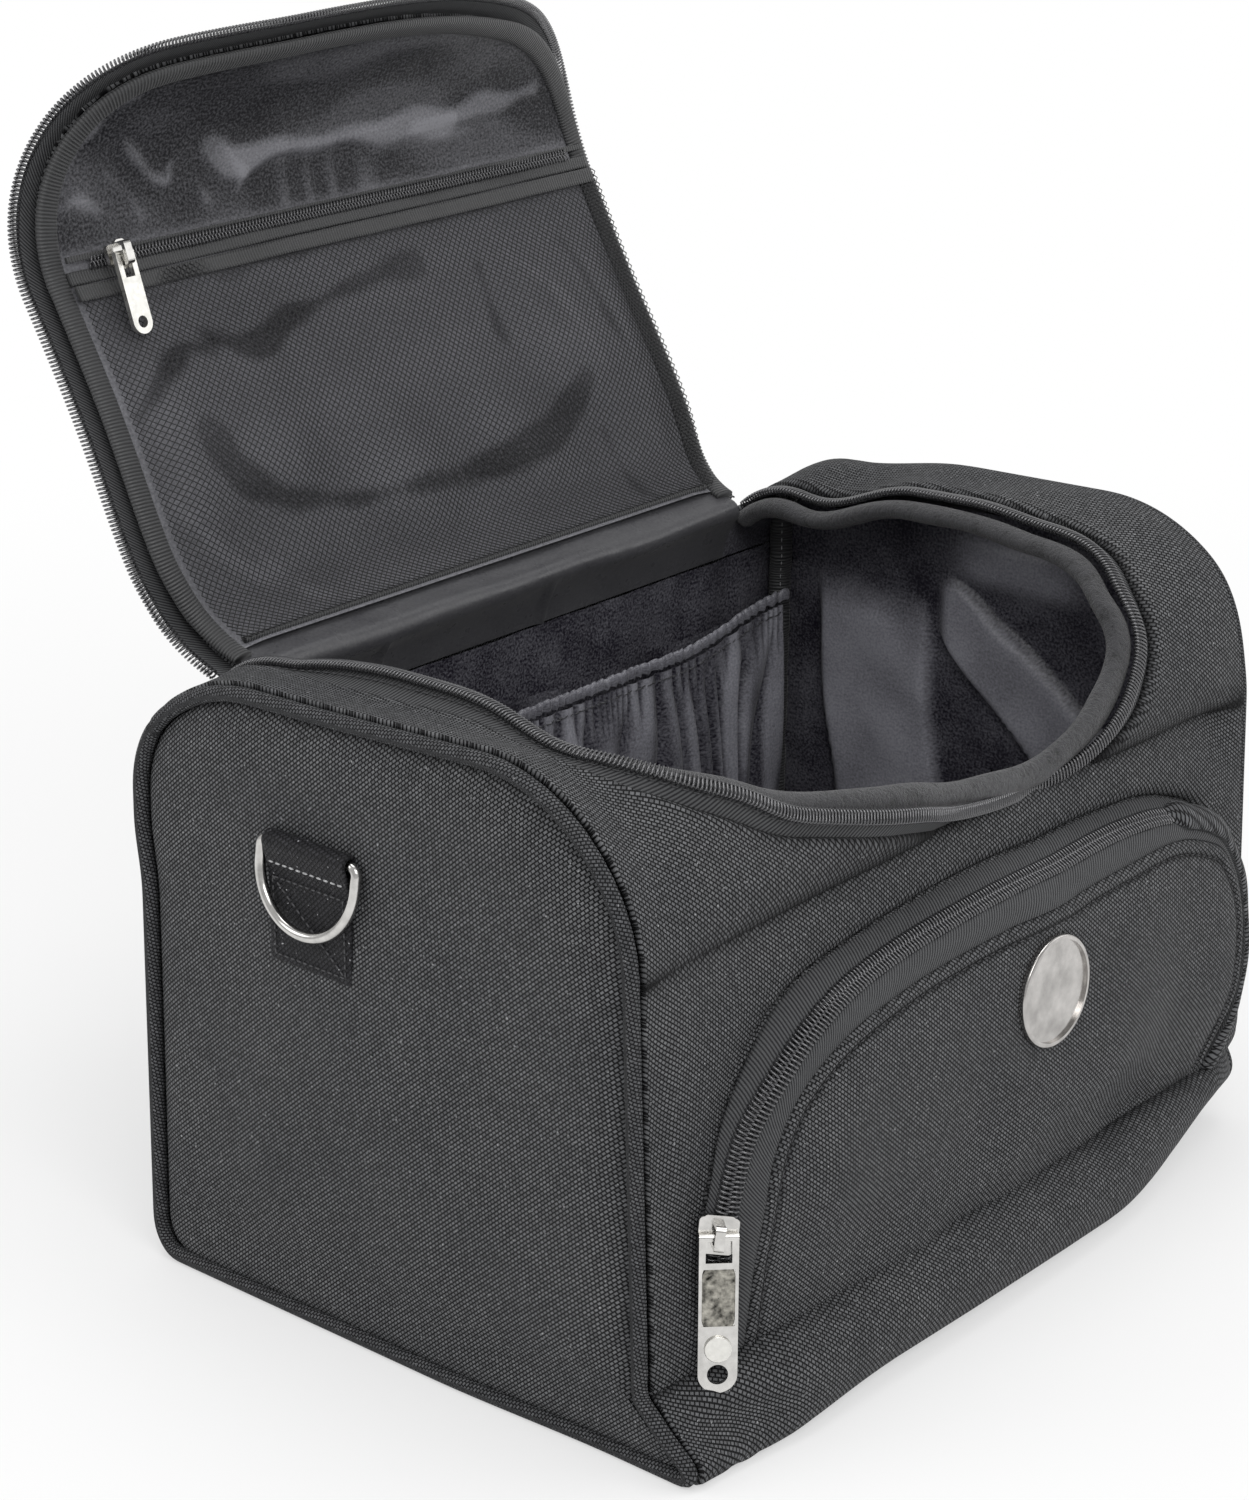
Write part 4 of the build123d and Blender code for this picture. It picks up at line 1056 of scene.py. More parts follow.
def wallGrid(name, first, second, place, rows, columns, material=satin, **more):
    # a lining between two ranges, laid out by a function
    a = np.linspace(*first, columns)[None].repeat(rows, 0)
    b = np.linspace(*second, rows)[:, None].repeat(columns, 1)
    return addGrid(name, place(a, b), material, np.stack([a, b], -1), slotName="lining_satin", **more)


def onBackWall(x, z):
    return np.stack([x, insideShape["back"] - 0.0007 - 0.0009 * np.abs(rumple(x, z, 0.06, 41)), z], -1)


def onFrontWall(x, z):
    y = -0.0975 + (z - 0.026) * 0.0454 + 0.0014 + 0.0012 * np.abs(rumple(x, z, 0.07, 42))
    return np.stack([x, y, z], -1)


def onBase(x, y):
    # the base's lining draws in at the front corners, as the base does
    drawn = 1 - 0.10 * smooth((-y - 0.070) / 0.025)
    return np.stack([x * drawn, y, insideShape["floor"] + 0.0004 * rumple(x, y, 0.08, 43)], -1)


half = insideShape["half"]
backLining = wallGrid("backLining", (-half, half), (0.010, 0.150), onBackWall, 40, 90)
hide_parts("back_lining", "back_board")
frontLining = wallGrid("frontLining", (-half, half), (0.010, 0.152), onFrontWall, 40, 90)
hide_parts("front_lining", "front_board")
baseLining = wallGrid("baseLining", (-half, half), (-0.104, 0.096), onBase, 50, 80)
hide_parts("base_lining", "base_board")

pocketFolds = {"count": 27, "hemCount": 66, "deep": 0.0040, "hemDeep": 0.0016, "hem": 0.0026,
               "half": 0.1515, "hemHalf": 0.1495, "foot": 0.038, "top": 0.1465, "ends": 0.1010}


def gathers(x, seed, count):
    # uneven folds side by side
    chance = np.random.default_rng(seed)
    phase = np.interp(x, np.linspace(-0.16, 0.16, 41), np.cumsum(chance.uniform(0.4, 1.7, 41)) / 41 * count)
    height = np.interp(x, np.linspace(-0.16, 0.16, 33), chance.uniform(0.4, 1.25, 33))
    return (np.abs(np.sin(phase * math.pi)) ** 0.7 - 0.5) * height


def pocketTop(x):
    return pocketFolds["top"] + 0.0085 * smooth((x - 0.085) / 0.06)


a = np.linspace(-pocketFolds["half"], pocketFolds["half"], 620)[None].repeat(46, 0)
b = np.linspace(0, 1, 46)[:, None].repeat(620, 1)
top = pocketTop(a)
z = pocketFolds["foot"] + (top - pocketFolds["foot"]) * b
front = insideShape["pocketFront"] - 0.003 * np.sin(math.pi * b) * (1 - (a / 0.16) ** 4)
wide = gathers(a + 0.010 * (1 - b) * np.sin(a * 60) + 0.004 * np.sin(b * 5 + a * 90), 51, pocketFolds["count"])
close = gathers(a, 54, pocketFolds["hemCount"])
hemward = smooth((b - 0.80) / 0.18)
pleats = pocketFolds["deep"] * wide * (1 - hemward) + pocketFolds["hemDeep"] * close * hemward
front = front - pleats * smooth((b - 0.05) / 0.5)
# painted highlights: pale streaks on the crests of the pocket's gathers
highlightStreak = wide * (1 - hemward) + close * hemward + 0.05 + 0.35 * rumple(a * 2.2, b * 0.08, 0.05, 55)
highlightStreak = smooth(highlightStreak / 0.75)
side = smooth((pocketFolds["half"] - np.abs(a)) / 0.006)
front = front * side + pocketFolds["ends"] * (1 - side)
elasticPocket = addGrid("elasticPocket", np.stack([a, front, z], -1), satin, np.stack([a, z], -1),
                        slotName="lining_satin", folds=highlightStreak * 0.62)
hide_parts("elastic_pocket")

angles = np.linspace(-0.9, math.pi + 0.9, 9)
row = np.linspace(-pocketFolds["hemHalf"], pocketFolds["hemHalf"], 900)
ruffle = gathers(row, 52, 74)
spine = np.stack([row, insideShape["pocketFront"] + 0.0006 - pocketFolds["hem"] * ruffle * 0.55,
                  pocketTop(row) + 0.0030 + 0.0012 * gathers(row, 53, 60)], 1)
hem = spine[None] + np.stack([0 * angles, -0.0010 * np.cos(angles), 0.0022 * np.sin(angles)], 1)[:, None]
frill = np.array([0, 0, 1])[None, None] * (0.0012 * ruffle)[None, :, None]
hem = hem + frill * (np.sin(angles) > 0.2)[:, None, None]
hemUv = np.stack(np.meshgrid(row, np.linspace(0, 0.02, len(angles))), -1)
# painted highlight: the whole hem is painted about a third of the way towards the lining's pale highlight colour
elasticHem = addGrid("elasticHem", hem, satin, hemUv, slotName="elastic", folds=np.full(hem.shape[:2], 0.34))
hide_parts("elastic_band")
line = np.stack([row, insideShape["pocketFront"] - 0.0012 - pocketFolds["hem"] * ruffle * 0.5,
                 pocketTop(row) - 0.0025], 1)
addStitches("hemStitches", line, np.tile([0, -1.0, 0.2], (len(row), 1)), threadFinish, pitch=0.0030)

cornerSeam = {"x": 0.1545, "y": 0.0985, "low": 0.010, "high": 0.190, "wide": 0.0042, "thick": 0.0018}
seamLineUp = np.linspace(cornerSeam["low"], cornerSeam["high"], 120)
for sideName, side in (("left", -1), ("right", 1)):
    wander = 0.0006 * np.sin(seamLineUp * 210) + 0.0004 * np.sin(seamLineUp * 470)
    path = np.stack([side * (cornerSeam["x"] + wander), cornerSeam["y"] + wander, seamLineUp], 1)
    angles = np.linspace(0, math.tau, 12, endpoint=False)
    section = np.stack([np.cos(angles) * cornerSeam["wide"], np.sin(angles) * cornerSeam["thick"]], 1)
    out = np.tile(unit(np.array([-side * 1.0, -1.0, 0.0])), (120, 1))
    addTube(sideName + "CornerSeam", path, 0, bindingCloth, out=out, section=section, slotName="binding")
    addStitches(sideName + "CornerStitches", path + out * 0.0019, out, brightThread, pitch=0.0030,
                length=0.0016, thick=0.0004,
                slotName="binding")

print("hinge")


def foldGrid(width, depth, caseRuns, lidRuns, columns, arc=9, inside=True):
    # a strip that goes from the case round the hinge on to the lid
    x = np.linspace(-width, width, columns)
    rows = [onSkin(x, np.full(columns, s), depth, False) for s in caseRuns]
    start = onSkin(x, np.zeros(columns), depth, False)
    if inside:
        for share in np.linspace(0, 1, arc):
            turn = math.radians(-caseShape["lidOpen"] * share)
            y, z = start[:, 1] - hingeAt[0], start[:, 2] - hingeAt[1]
            rows.append(np.stack([x, hingeAt[0] + y * math.cos(turn) - z * math.sin(turn),
                                  hingeAt[1] + y * math.sin(turn) + z * math.cos(turn)], 1))
    rows += [openLid(onSkin(x, np.full(columns, s), depth, False)) for s in lidRuns]
    points = np.stack(rows)
    run = np.concatenate([[0], np.cumsum(np.linalg.norm(np.diff(points[:, 0], axis=0), axis=1))])
    return points, np.stack(np.meshgrid(x, run), -1)


points, uv = foldGrid(0.1570, 0.0046, np.linspace(-0.0560, -0.0205, 14), [], 90, inside=False)
points[..., 1] -= 0.0008 * np.abs(rumple(uv[..., 0], uv[..., 1], 0.05, 61))
upperBack = addGrid("upperBackLining", points, satin, uv, slotName="lining_satin")
points, uv = foldGrid(0.1250, 0.0044, np.linspace(-0.0200, -0.0012, 12), np.linspace(0.0012, 0.0150, 10), 140)
middle = np.sin(np.linspace(0, math.pi, len(points)))[:, None]
points[..., 2] += 0.0007 * rumple(uv[..., 0] * 0.6, uv[..., 1] * 1.5, 0.03, 62) * middle
for place in (-0.062, 0.022):  # two small sewn tucks
    points[..., 1] -= 0.0020 * bell(points[..., 0] - place, 0.0012) * smooth((0.0205 - uv[..., 1]) / 0.008)
hingeStrip = addGrid("hingeStrip", points, hingeSatin, uv, body=None, slotName="lining_satin")
caseSide = onSkin(np.zeros(1), np.zeros(1), 0.0044, False)[0]
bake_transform(hingeStrip)
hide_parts("hinge_strip")
for side in (-1, 1):
    points, uv = foldGrid(0.0170, 0.0042, np.linspace(-0.0200, 0.0, 12), [], 20, inside=False)
    points[..., 0] += side * 0.1405
    corner = addGrid("hingeCorner" + ("Left" if side < 0 else "Right"), points, satin, uv,
                     slotName="lining_satin")

points, uv = foldGrid(0.1235, -0.0007, np.linspace(-0.0110, -0.0016, 6), np.linspace(0.0016, 0.0110, 6), 90,
                      inside=False)
hingeCloth = addGrid("hingeCloth", points, tapeCloth, uv, body=None, slotName="outer_fabric")
startPoint = onSkin(np.zeros(1), np.full(1, -0.0016), 0.0, False)[0]
endPoint = openLid(onSkin(np.zeros(1), np.full(1, 0.0016), 0.0, False))[0]
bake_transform(hingeCloth)

print("lid")

lidShape = {"edge": 0.0085, "pad": 0.0030, "wrinkle": 0.0006, "bow": 0.0035, "spread": 0.0015,
            "leftSpread": 0.0045, "curl": 0.0040,
            "corner": 0.0050}
handleFeet = {"x": 0.088, "run": 0.086, "half": 0.017}
cornerGap = (rim[:, 0] + 0.100) ** 2 + (rim[:, 1] - 0.196) ** 2
lidRim = outset(rim, lidShape["spread"] * smooth(rim[:, 1] / 0.05) + 0.0030 * bell(rim[:, 1] - 0.055, 0.035)
                + lidShape["leftSpread"] * smooth(-rim[:, 0] / 0.10) * smooth(rim[:, 1] / 0.05)
                + lidShape["corner"] * np.exp(-cornerGap / 0.034 ** 2))

def pressed(x, s):
    # the handle's feet hold the padding down
    across = np.maximum(np.abs(np.abs(x) - handleFeet["x"]) - handleFeet["half"], 0)
    along = np.maximum(np.abs(s - handleFeet["run"]) - handleFeet["half"], 0)
    return np.exp(-(across ** 2 + along ** 2) / 0.016 ** 2)


def onLid(x, s, depth=0.0):
    # points on the open lid's outer face; the padded middle bows out a little
    x, s, depth = np.broadcast_arrays(np.asarray(x, float), np.asarray(s, float), np.asarray(depth, float))
    inward = np.clip((0.132 - np.abs(x)) / 0.132, 0, 1)
    out = lidShape["bow"] * smooth(s / 0.12) * (0.35 + 0.65 * smooth(inward * 1.6)) * (1 - 0.9 * pressed(x, s))
    out = out + lidShape["curl"] * smooth((-x - 0.03) / 0.09) * smooth((s - 0.06) / 0.12) - depth
    plain = onSkin(x, s, 0.0, False)
    raised = onSkin(x, s, -0.001, False)
    return openLid(plain + unit(raised - plain) * out[..., None])


def lidPath(distance, depth):
    flat = outset(lidRim, -distance)
    flat[:, 1] = np.maximum(flat[:, 1], 0.0)
    path = onLid(flat[:, 0], flat[:, 1], depth)
    return path, unit(onLid(flat[:, 0], flat[:, 1], np.asarray(depth) - 0.001) - path)


def lidGrid(distance, rows, columns, hinge=0.0):
    # the lid's flat outline moved in by a distance and filled from the hinge to the crown
    flat = outset(lidRim, -distance)
    flat[:, 1] = np.maximum(flat[:, 1], hinge)
    count = len(flat)
    first, last = int(count * 0.305), int(count * 0.695)
    bottom = np.stack([np.linspace(flat[0, 0], flat[-1, 0], 50), np.full(50, hinge)], 1)
    grid = patchBetween(bottom, flat[first:last + 1], flat[:first + 1], flat[last:][::-1], rows, columns)
    return grid, awayFrom(grid, outset(lidRim, -distance))


grid, gap = lidGrid(lidShape["edge"], 110, 130)
depth = -lidShape["pad"] * (1 - np.exp(-gap / 0.012))
depth = depth * (1 - 0.8 * pressed(grid[..., 0], grid[..., 1])) + 0.0018 * np.exp(-gap / 0.0022)
depth = depth - lidShape["wrinkle"] * rumple(grid[..., 0], grid[..., 1], 0.06, 71) * smooth(gap / 0.02)
lidPanel = addGrid("lidPanel", onLid(grid[..., 0], grid[..., 1], depth), outerCloth, grid, thick=0.0022,
                   body="lid", slotName="outer_fabric")
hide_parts("lid_panel", "lid_board")

keep = slice(4, -4)
lidEdge = lidRim[keep]
v = np.linspace(0, 1, 7)
flat = np.stack([outset(lidEdge, -0.0008 - 0.0090 * share) for share in v])
uv = np.stack(np.meshgrid(np.linspace(0, 0.8, len(lidEdge)), 0.009 * v), -1)
lidTape = addGrid("lidZipTape", onLid(flat[..., 0], flat[..., 1], -0.0006 + 0.0004 * v[:, None]), tapeCloth, uv,
                  thick=0.0008, body="lid", slotName="zip_tape")
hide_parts("lid_zip_tape")
path, out = lidPath(-0.0004, -0.0004)
lidCoil = addCoil("lidZipCoil", path[6:-6], out[6:-6], coilPlastic, zipShape["coilWidth"],
                  zipShape["coilHeight"], zipShape["pitch"], body="lid")
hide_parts("lid_zip_coil")
path, out = lidPath(0.0100, -0.0028)
addStitches("lidStitches", path[6:-6], out[6:-6], threadFinish, body="lid")

path, out = lidPath(0.0085, 0.0052)
angles = np.linspace(0, math.tau, 16, endpoint=False)
wideLine = np.sign(np.cos(angles)) * np.abs(np.cos(angles)) ** 0.7 * 0.0042
section = np.stack([wideLine, np.sin(angles) * 0.0018], 1)
lidBinding = addTube("lidBinding", path[3:-3], 0, bindingCloth, out=-out[3:-3], section=section, body="lid",
                     slotName="binding")
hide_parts("lid_binding")

lidFolds = {  # folds of the satin, the first list painted as highlights and the second as shade: the places that each runs through, its half width and how strong it is
    "pale": [
        ([(-0.057, 0.180), (-0.048, 0.172), (-0.034, 0.175), (-0.001, 0.174), (0.034, 0.173), (0.060, 0.172)],
         0.0056, 0.60),
        ([(0.040, 0.171), (0.076, 0.175), (0.105, 0.178)], 0.0042, 0.50),
        ([(0.020, 0.166), (0.060, 0.166), (0.085, 0.168)], 0.0012, 0.20),
        ([(-0.120, 0.181), (-0.114, 0.191), (-0.107, 0.199), (-0.095, 0.205)], 0.0014, 0.50),
        ([(-0.124, 0.168), (-0.115, 0.170), (-0.106, 0.164)], 0.0018, 0.45),
        ([(-0.096, 0.188), (-0.083, 0.173), (-0.076, 0.170), (-0.074, 0.177)], 0.0012, 0.50),
        ([(-0.050, 0.178), (-0.043, 0.168), (-0.045, 0.162)], 0.0012, 0.45),
        ([(-0.104, 0.178), (-0.092, 0.168), (-0.088, 0.160)], 0.0009, 0.35),
        ([(-0.062, 0.168), (-0.058, 0.160)], 0.0010, 0.35),
        ([(-0.121, 0.067), (-0.107, 0.042), (-0.075, 0.016)], 0.0030, 0.20),
        ([(-0.100, 0.050), (-0.080, 0.022), (-0.060, 0.012)], 0.0016, 0.22),
        ([(0.070, 0.120), (0.088, 0.100), (0.098, 0.070)], 0.0022, 0.20),
    ],
    "dark": [
        ([(-0.084, 0.118), (-0.063, 0.107), (-0.034, 0.117), (-0.008, 0.121), (0.028, 0.124)], 0.0050, 0.50),
        ([(-0.122, 0.094), (-0.106, 0.106), (-0.091, 0.115), (-0.079, 0.111)], 0.0040, 0.45),
        ([(-0.096, 0.087), (-0.090, 0.065), (-0.060, 0.051), (-0.023, 0.048), (0.028, 0.046), (0.062, 0.052),
          (0.088, 0.069)], 0.0062, 0.48),
        ([(0.055, 0.118), (0.052, 0.092), (0.057, 0.083)], 0.0022, 0.35),
        ([(0.099, 0.120), (0.106, 0.093), (0.114, 0.064)], 0.0020, 0.30),
        ([(0.083, 0.048), (0.088, 0.019), (0.101, 0.008)], 0.0018, 0.30),
        ([(-0.120, 0.130), (-0.060, 0.136), (0.000, 0.138), (0.080, 0.138)], 0.0024, 0.25),
    ],
}


def foldAlong(grid, places, width):
    # 1 on a fold that runs through these places and 0 beside it
    line = np.array(places, float)
    share = np.linspace(0, len(line) - 1, 50)
    dense = np.stack([np.interp(share, np.arange(len(line)), line[:, k]) for k in (0, 1)], 1)
    padded = np.concatenate([dense[:1]] * 4 + [dense] + [dense[-1:]] * 4)
    dense = np.stack([np.convolve(padded[:, k], np.full(9, 1 / 9), "valid") for k in (0, 1)], 1)
    gap = closest(grid, dense)[0] + 0.0012 * np.sin(grid[..., 0] * 190) * np.cos(grid[..., 1] * 260)
    run = np.linspace(0, 1, len(dense))[closest(grid, dense)[1]]
    reach = width * (0.75 + 0.35 * np.sin(run * 9 + len(line)))
    return smooth((reach + 0.0022 - gap) / 0.0044) * (0.55 + 0.45 * np.sin(run * math.pi) ** 0.5)


grid, gap = lidGrid(0.0115, 160, 190, 0.008)
above = smooth((grid[..., 1] - 0.150) / 0.006)
drape = rumple(grid[..., 0] * 0.5 + 0.3 * grid[..., 1], grid[..., 1] * 1.5, 0.055, 72)
gridX = grid[..., 0]
pucker = np.sin(gridX * 240 + 5 * np.sin(gridX * 31) + 2.2 * np.sin(gridX * 83 + 1))
pucker = pucker * np.exp(-(grid[..., 1] - 0.154) / 0.010) * above
pucker = pucker * np.clip(0.5 + 0.7 * np.sin(gridX * 38 + 2), 0.1, 1)
pucker = pucker * (1 - 0.6 * smooth((gridX - 0.02) / 0.06))
pale = sum(height * foldAlong(grid, places, width) for places, width, height in lidFolds["pale"])
dark = sum(height * foldAlong(grid, places, width) for places, width, height in lidFolds["dark"])
# painted light and shade on the lid's lining: highlights on the puckers by the zip and on the pale folds, shade on the
# dark folds, soft light and shade from the drape, and below the zip, behind the net, the lining painted much lighter
# all over; the same value also raises the lining a little
crest = above * (0.10 + 0.16 * smooth(drape * 0.8 + 0.25) + 0.30 * np.maximum(pucker, 0) + pale)
crest = np.clip(crest + (1 - above) * (0.66 + 0.05 * drape + pale) - dark, 0, 1)
raised = 0.0024 * np.clip(crest, 0, 1) * above + 0.0008 * (1 - above)
depth = 0.0058 + raised * smooth(gap / 0.012) - 0.0006 * np.exp(-gap / 0.003)
lidLining = addGrid("lidLining", onLid(grid[..., 0], grid[..., 1], depth), lidSatin, grid, body="lid",
                    slotName="lining_satin",
                    folds=crest)
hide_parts("lid_lining")

netShape = {"zipAt": 0.149, "cell": 0.0025, "thread": 0.00052, "bag": 0.0050, "fold": 0.0022}


def halfAt(s, distance):
    # half the lid's width at a run from the hinge, less a margin
    left = lidRim[: len(rim) // 2]
    return -np.interp(s, left[:, 1], left[:, 0]) - distance


def netDepth(x, s):
    share = np.clip((netShape["zipAt"] - 0.006 - s) / 0.135, 0, 1)
    edge = smooth((halfAt(s, 0.0125) - np.abs(x)) / 0.02)
    folds = rumple(x * 0.9 + 0.5 * s, s * 0.6 - 0.4 * x, 0.060, 73)
    folds = folds * smooth(share * 3 - 0.6) * smooth((1 - share) * 4)
    bag = netShape["bag"] * np.sin(np.clip(share, 0, 1) * math.pi) ** 2.4
    bag = bag + netShape["fold"] * (0.5 + 0.5 * folds) * smooth(share * 4)
    return 0.0078 + edge * np.maximum(bag, 0)


cell = netShape["cell"]
low, high = 0.010, netShape["zipAt"] - 0.0065
rows = int((high - low) / (cell * 0.5))
columns = int(0.240 / cell) + 1
i, j = np.meshgrid(np.arange(rows + 1), np.arange(columns + 1), indexing="ij")
x = -0.120 + (j + 0.5 * (i % 2)) * cell
s = low + i * cell * 0.5
x = x * (halfAt(s, 0.0120) / 0.120)
points = onLid(x, s, netDepth(x, s))
faces = []
for r in range(rows - 1):
    for c in range(1, columns):
        other = c - 1 if r % 2 == 0 else c + 1
        if other > columns:
            continue
        a, b = (other, c) if r % 2 == 0 else (c, other)
        rowLength = columns + 1
        faces.append((r * rowLength + c, (r + 1) * rowLength + a, (r + 2) * rowLength + c,
                      (r + 1) * rowLength + b))
net = addPiece("lidNet", points, faces, netThread, body="lid", slotName="net")
wire = net.modifiers.new("threads", "WIREFRAME")
wire.thickness = netShape["thread"]
wire.use_replace = True
wire.use_even_offset = False
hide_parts("lid_net_pocket")
path = np.stack([np.linspace(-0.1185, 0.1185, 200), np.full(200, low + 0.001)], 1)
hemLine = onLid(path[:, 0], path[:, 1], 0.0066)
addTube("netFootHem", hemLine, 0.0012, bindingCloth, sides=8, body="lid", slotName="net")

tapeBands = [(-0.0066, -0.0018, 0.0078), (-0.0125, -0.0072, 0.0086),
             (0.0012, 0.0034, 0.0078)]  # from, to, depth
for index, (near, far, depth) in enumerate(tapeBands):
    s = netShape["zipAt"] + np.linspace(near, far, 6)
    width = halfAt(s, 0.0120)
    x = np.linspace(-1, 1, 180)[None] * width[:, None]
    wave = 0.0006 * rumple(x, np.broadcast_to(s[:, None], x.shape), 0.05, 75 + index)
    grid = onLid(x, np.broadcast_to(s[:, None], x.shape), depth + wave)
    band = addGrid("lidPocketTape" + "ABC"[index], grid, bindingCloth,
                   np.stack([np.broadcast_to(s[:, None], x.shape), x], -1),
                   thick=0.0007, body="lid", slotName="zip_tape")
    if index == 0:
        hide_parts("lid_pocket_zip_tape")
x = np.linspace(-0.116, 0.116, 220)
path = onLid(x, np.full(220, netShape["zipAt"]), 0.0082)
out = unit(onLid(x, np.full(220, netShape["zipAt"]), 0.0092) - path)
pocketCoil = addCoil("lidPocketCoil", path, out, coilPlastic, 0.0022, 0.0016, 0.0015, rows=2, spacing=0.0019,
                     wire=0.00034, body="lid")
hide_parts("lid_pocket_zip_coil")

print("front pocket")

def pocketRise(gap, x, up):
    # how far the pocket stands out of the front at a distance from its outline
    foot = footRise(x, up)
    reach = 0.060 - 0.020 * smooth((x - 0.090) / 0.050)
    brim = seamOut(x) + (pocketShape["wall"] - seamOut(x)) * smooth(up / reach)
    leg = smooth((-x - 0.105) / 0.03) * smooth((0.100 - up) / 0.03)
    bulged = np.sin(np.clip(gap / 0.0135, 0, 1) * math.pi / 2) ** 1.1
    straight = np.clip(gap / 0.0160, 0, 1) ** 1.02
    wall = np.maximum(brim - foot, 0) * (bulged * (1 - leg) + straight * leg)
    crown = pocketShape["puff"] * (1 - np.exp(-np.maximum(gap - 0.013, 0) / 0.022)) * smooth(up / 0.05)
    away = np.hypot(x - badgeSeat["x"], up - badgeSeat["up"]) - badgeSeat["radius"]
    seat = 1 - smooth(away / 0.016)
    return (wall + crown) * (1 - seat) + badgeSeat["out"] * seat


def onPocket(x, up, gap, proud=0.0):
    rise = pocketRise(gap, x, up)
    return onSkin(x, bandRun - up, -(rise + proud), True)


def pocketLine(inset, proud, part=slice(None)):
    # a line at a distance inside the pocket's outline, with its outward directions
    gap = np.broadcast_to(inset, len(arch))
    flat, inner = outset(arch, -gap)[part], outset(arch, -gap - 0.001)[part]
    path = onPocket(flat[:, 0], flat[:, 1], gap[part], proud)
    along = unit(np.gradient(path, axis=0))
    across = unit(onPocket(inner[:, 0], inner[:, 1], gap[part] + 0.001, proud) - path)
    out = unit(np.cross(across, along))
    flip = np.sign(np.sum(out * (path - np.array([0.0, 0.0, 0.085])), 1, keepdims=True))
    return path, out * np.where(flip == 0, 1, flip)


def pocketStrip(name, near, far, material, proud=0.0, rows=8, **more):
    # a strip along the pocket's outline between two distances inside it
    v = np.linspace(0, 1, rows)[:, None]
    gap = near + (far - near) * v + np.zeros(len(arch))
    flat = np.stack([outset(arch, -line) for line in gap])
    uv = np.stack(np.meshgrid(archShare * 0.5, np.mean(far - near) * v[:, 0] * 1.4), -1)
    crease = bell(gap - creaseGap, 0.0016)
    # painted shade in the crease where the pocket's side meets the front
    return addGrid(name, onPocket(flat[..., 0], flat[..., 1], gap, proud - 0.0018 * crease), material, uv,
                   slotName="zip_tape",
                   folds=0.85 * crease, **more)


side = pocketStrip("frontPocketSide", 0.0, seamGap, outerCloth, rows=26)
pocketStrip("frontPocketTapeOuter", creaseGap + 0.0010, coilGap - 0.0011, tapeCloth, 0.0008, 10, thick=0.0006)
pocketStrip("frontPocketTapeInner", coilGap + 0.0011, seamGap + 0.0006, tapeCloth, 0.0008, 8, thick=0.0006)
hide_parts("front_pocket_zip_tape")

inset = outset(arch, -seamGap)
count = len(inset)
first, last = int(count * 0.30), int(count * 0.70)
foot = bandRun - bandLine(np.linspace(inset[0, 0], inset[-1, 0], 90))
bottom = np.stack([np.linspace(inset[0, 0], inset[-1, 0], 90), foot], 1)
grid = patchBetween(bottom, inset[first:last + 1], inset[:first + 1], inset[last:][::-1], 130, 250)
gap, index = closest(grid, arch)
edge = np.maximum(gap - seamGap[index], 0)
proud = 0.0018 * (1 - np.exp(-edge / 0.0009)) + 0.0007 * bell(edge - 0.0026, 0.0018)
proud = proud - 0.0008 * bell(edge - 0.0056, 0.0010)
away = np.hypot(grid[..., 0] - badgeSeat["x"], grid[..., 1] - badgeSeat["up"]) - badgeSeat["radius"]
seat = 1 - smooth(away / 0.014)
proud = proud + 0.0011 * rumple(grid[..., 0], grid[..., 1] * 0.8, 0.075, 81) * smooth(edge / 0.03)
proud = proud * (1 - seat)
droop = 0.0020 * bell(grid[..., 1] - 0.022 - 0.01 * np.sin(grid[..., 0] * 25), 0.012)
droop = droop * smooth((0.12 - np.abs(grid[..., 0])) / 0.05)
toBand = np.abs(grid[..., 1] - bandRun + bandLine(grid[..., 0]))
shade = np.exp(-edge / 0.0008) + 0.8 * bell(edge - 0.0056, 0.0009) + 1.5 * np.exp(-toBand / 0.0020)
pocketPanel = addGrid("frontPocketPanel", onPocket(grid[..., 0], grid[..., 1], gap, proud + droop), outerCloth,
                      grid * [1, -1],
                      thick=0.0018, slotName="outer_fabric", folds=np.clip(shade, 0, 1))
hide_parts("front_pocket_panel")

# start is the share of the pocket's outline where the zip goes under its garage
garageShape = {"start": 0.715, "wide": 0.0062, "high": 0.0034}
coilPart = slice(8, int(count * (garageShape["start"] + 0.01)))
path, out = pocketLine(coilGap, 0.0018, coilPart)
frontCoil = addCoil("frontPocketCoil", path, out, coilPlastic, 0.0040, 0.0022, 0.0015, rows=2, spacing=0.0030)
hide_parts("front_pocket_coil")
path, out = pocketLine(creaseGap + 0.0024, 0.0012)
addStitches("frontPocketStitches", path, out, threadFinish, length=0.0022, thick=0.0004)
path, out = pocketLine(seamGap + 0.0056, 0.0012)
addStitches("frontPocketEdgeStitches", path, out, threadFinish, length=0.0022, thick=0.0004)

part = slice(int(count * garageShape["start"]), count - 3)
path, out = pocketLine(coilGap + 0.0004, 0.0008, part)
share = np.linspace(0, 1, len(path))
grow = 0.25 + 0.75 * smooth(share / 0.10)
angles = np.linspace(0, math.tau, 18, endpoint=False)
roll = np.stack([np.cos(angles) * garageShape["wide"], np.sin(angles) * garageShape["high"] + 0.0012], 1)
roll = roll[None] * grow[:, None, None]
roll = roll * (1 + 0.05 * np.sin(share * 31))[:, None, None]
garage = addTube("zipGarage", path, 0, outerCloth, out=out, section=roll, slotName="outer_fabric")

print("metal pieces")


